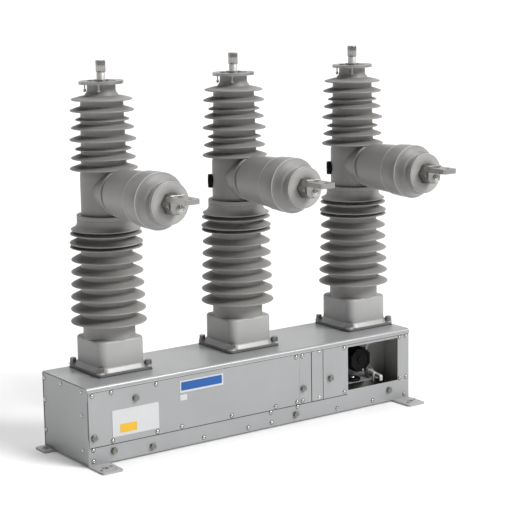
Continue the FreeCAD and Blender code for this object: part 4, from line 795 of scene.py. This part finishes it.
def dust_cap():
    """The octagonal cap of the control receptacle: ribbed sides and a stepped face."""
    low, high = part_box("receptacle")
    across = (high.x - low.x) / 2
    place = facing(((low.x + high.x) / 2, low.y, (low.z + high.z) / 2), FRONT)
    reach = high.y - low.y - 0.3 * MM

    def ribbed(angle, size, rib):
        octagon = across / math.cos((angle + math.pi / 8) % (math.pi / 4) - math.pi / 8)
        ridge = RIB_HIGH * rib * max(0.0, math.cos(angle * CAP_RIBS))
        return (octagon - 1.5 * MM * rib + ridge) * size

    bm = bmesh.new()
    rings = []
    # distance along the axis, size against the octagon, and how much of the ribs shows
    for along, size, rib in ((-reach, 0.9, 0.0), (-44 * MM, 0.97, 1.0), (-8 * MM, 0.97, 1.0),
                             (-5 * MM, 1.0, 0.0), (-2 * MM, 1.0, 0.0), (0, 0.95, 0.0), (0, 0.80, 0.0),
                             (-3 * MM, 0.76, 0.0), (-3 * MM, 0.34, 0.0), (0, 0.30, 0.0), (0, 0.1, 0.0)):
        rings.append(shaped_ring(bm, place, along, CAP_STEPS, lambda angle: ribbed(angle, size, rib)))
    stack(bm, rings)
    as_piece("dust_cap", bm, "dark_plug", node="receptacle", sharp=30)


def gland():
    """The cable gland in the shelf: a dark disc and the end of its core."""
    low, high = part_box("cable_gland")
    place = z_place((low.x + high.x) / 2, (low.y + high.y) / 2)
    deck = low.z + 10 * MM
    disc, core = bmesh.new(), bmesh.new()
    turn(disc, [(0, low.z), (14 * MM, low.z), (14 * MM, deck), (25.5 * MM, deck), (27 * MM, deck + 1.2 * MM),
                (27 * MM, deck + 6 * MM), (25 * MM, deck + 8.4 * MM), (15 * MM, deck + 9 * MM),
                (13 * MM, deck + 7.6 * MM), (0, deck + 7.6 * MM)], place, 64)
    as_piece("gland_disc", disc, "dark_plug", node="cable_gland")
    turn(core, [(0, deck + 6 * MM), (9 * MM, deck + 6 * MM), (9.6 * MM, deck + 10 * MM), (8.4 * MM, high.z),
                (0, high.z)], place, 48)
    as_piece("gland_core", core, "terminal")


def lever_part(name, outline, left, right, rounding):
    """A bent-sheet part of the trip lever, from (y, z) millimetres about the lever's pin."""
    low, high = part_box("trip_lever")
    x, y, z = (low.x + high.x) / 2, high.y - 8 * MM, high.z - 8 * MM
    bm = bmesh.new()
    flat_part(bm, [(y + along, z + up) for along, up in in_metres(outline)], x + left, x + right, "x")
    round_edges(bm, rounding)
    as_piece(name, bm, "lever_sheet", body="trip", node="trip_lever", sharp=40)


def hand_lever():
    """The hooked trip lever: a bright bar, a leg through the shelf, a folded pull tab and the fixed pin."""
    lever_part("lever_bar", [(6, 6), (-6, 7), (-31, 1.5), (-33, -3), (-28, -5), (-6, -6), (6, -6)],
               -6.5 * MM, 6.5 * MM, 1.2 * MM)
    lever_part("lever_leg", [(-32, 0), (-26, 0), (-17, -29), (-19, -33), (-24, -33), (-26.5, -29)],
               -6 * MM, 1 * MM, 1.4 * MM)
    lever_part("lever_tab", [(-28, -1), (-52, -4), (-55, -9), (-54.5, -22), (-51.5, -22), (-51.5, -10),
                             (-49.5, -7.2), (-28, -5)], 1 * MM, 12 * MM, 1.0 * MM)
    low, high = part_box("trip_lever")
    place = facing(((low.x + high.x) / 2 - 11 * MM, high.y - 8 * MM, high.z - 8 * MM), RIGHT)
    pin = bmesh.new()
    turn(pin, in_metres([(0, 0), (3.6, 0), (3.9, 0.4), (3.9, 21.6), (3.6, 22), (0, 22)]), place, 32)
    as_piece("lever_pin", pin, "bright_screw")


def compartment_details():
    """A gusset that hangs from the cover above the receptacle, and a small screw below the cap."""
    low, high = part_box("receptacle")
    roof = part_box("compartment_wall")[1].z
    middle, y = (low.x + high.x) / 2, low.y - 14 * MM
    gusset, screw = bmesh.new(), bmesh.new()
    flat_part(gusset, [(middle + 8 * MM, roof), (middle + 46 * MM, roof), (middle + 46 * MM, 203 * MM),
                       (middle + 17 * MM, 187 * MM), (middle + 13 * MM, 176 * MM),
                       (middle + 8 * MM, 178 * MM)], y, y + 2.5 * MM, "y")
    round_edges(gusset, 0.6 * MM)
    as_piece("roof_gusset", gusset, "shelf_grey", sharp=30)
    turn(screw, in_metres([(3.6, 0), (3.6, 1.5), (2.9, 3), (1.5, 3.8), (0, 4)]),
         facing((middle + 6 * MM, low.y, low.z + 5 * MM), FRONT), 24)
    as_piece("cap_screw", screw, "bright_screw")


plain_plates()
dust_cap()
gland()
seam_lines()
hand_lever()
compartment_details()
feet_details()
paint(NODES["receptacle_bracket"], "shelf_grey")
paint(NODES["nameplate"], "label_white")
paint(NODES["mounting_feet"], "cast_plate")
for side_name in SIDES:
    paint(NODES[f"base_plate_{side_name}"], "plate_edge")


# ---------------------------------------------------------------- camera, floor and light

HOUSING_LOW, HOUSING_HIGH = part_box("top_cover")
FOOT_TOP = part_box("mounting_feet")[1].z
MIDDLE = Vector((0, (HOUSING_LOW.y + HOUSING_HIGH.y) / 2, FOOT_TOP))
AZIMUTH, ELEVATION, ROLL = math.radians(-35.08), math.radians(10.48), math.radians(-0.97)
DISTANCE, SIDE_SHIFT, UP_SHIFT = 4.9158, 0.063, 0.4997
FOCAL, SENSOR = 113.15, 36.0
FLOOR_REACH = 60.0


def make_camera():
    """A long lens that looks toward the front from its left, shifted in its own plane from MIDDLE."""
    back = Vector((math.sin(AZIMUTH) * math.cos(ELEVATION), -math.cos(AZIMUTH) * math.cos(ELEVATION),
                   math.sin(ELEVATION)))
    right = Vector((0, 0, 1)).cross(back).normalized()
    up = back.cross(right)
    right_rolled = right * math.cos(ROLL) + up * math.sin(ROLL)
    up_rolled = up * math.cos(ROLL) - right * math.sin(ROLL)
    data = bpy.data.cameras.new("camera")
    data.lens = FOCAL
    data.sensor_width = SENSOR
    data.clip_end = 200
    camera = bpy.data.objects.new("camera", data)
    bpy.context.scene.collection.objects.link(camera)
    place = MIDDLE + back * DISTANCE + right_rolled * SIDE_SHIFT + up_rolled * UP_SHIFT
    turned = Matrix((right_rolled, up_rolled, back)).transposed().to_4x4()
    camera.matrix_world = Matrix.Translation(place) @ turned
    bpy.context.scene.camera = camera


def make_floor():
    """A wide white floor that takes the soft shadow."""
    bm = bmesh.new()
    corners = [bm.verts.new((way_x * FLOOR_REACH, way_y * FLOOR_REACH, 0))
               for way_x, way_y in ((-1, -1), (1, -1), (1, 1), (-1, 1))]
    bm.faces.new(corners)
    mesh = bpy.data.meshes.new("floor")
    bm.to_mesh(mesh)
    bm.free()
    floor = bpy.data.objects.new("floor", mesh)
    bpy.context.scene.collection.objects.link(floor)
    material = bpy.data.materials.new("floor")
    material.use_nodes = True
    shader = material.node_tree.nodes["Principled BSDF"]
    shader.inputs["Base Color"].default_value = (0.95, 0.95, 0.95, 1)
    shader.inputs["Emission Color"].default_value = (1, 1, 1, 1)
    shader.inputs["Emission Strength"].default_value = 0.07
    shader.inputs["Roughness"].default_value = 0.9
    shader.inputs["Specular IOR Level"].default_value = 0.1
    mesh.materials.append(material)


def soft_sun(name, toward, strength, softness):
    """A very soft distant light that comes from the given direction."""
    data = bpy.data.lights.new(name, "SUN")
    data.energy = strength
    data.angle = math.radians(softness)
    light = bpy.data.objects.new(name, data)
    bpy.context.scene.collection.objects.link(light)
    light.rotation_mode = "QUATERNION"
    light.rotation_quaternion = Vector(toward).to_track_quat("Z", "Y")


def make_world():
    """A white backdrop for the camera and, in part, for reflections; a weak fill from the right elsewhere."""
    world = bpy.data.worlds.new("studio")
    bpy.context.scene.world = world
    world.use_nodes = True
    tree = world.node_tree
    tree.nodes.clear()
    link = tree.links.new
    way = add_node(tree, "ShaderNodeTexCoord")
    parts = add_node(tree, "ShaderNodeSeparateXYZ")
    link(way.outputs["Generated"], parts.inputs[0])
    fill = add_node(tree, "ShaderNodeBackground", Color=(1, 1, 1, 1))
    link(map_range(tree, parts.outputs["X"], 0.0, 0.24, -0.5, 0.6), fill.inputs["Strength"])
    backdrop = add_node(tree, "ShaderNodeBackground", Color=(1, 1, 1, 1), Strength=1.0)
    path = add_node(tree, "ShaderNodeLightPath")
    mirror = add_node(tree, "ShaderNodeMath", operation="MULTIPLY")
    link(path.outputs["Is Glossy Ray"], mirror.inputs[0])
    link(map_range(tree, parts.outputs["Y"], 0.32, 0.85, -0.25, 0.45), mirror.inputs[1])
    either = add_node(tree, "ShaderNodeMath", operation="MAXIMUM")
    link(path.outputs["Is Camera Ray"], either.inputs[0])
    link(mirror.outputs[0], either.inputs[1])
    choose = add_node(tree, "ShaderNodeMixShader")
    out = add_node(tree, "ShaderNodeOutputWorld")
    link(either.outputs[0], choose.inputs[0])
    link(fill.outputs[0], choose.inputs[1])
    link(backdrop.outputs[0], choose.inputs[2])
    link(choose.outputs[0], out.inputs[0])


make_camera()
make_floor()
make_world()
soft_sun("key", (0.38, -0.66, 0.65), 2.65, 26)
soft_sun("top", (0.10, 0.2, 0.97), 1.68, 46)
bpy.context.scene.view_settings.view_transform = "Standard"
bpy.context.scene.view_settings.look = "None"
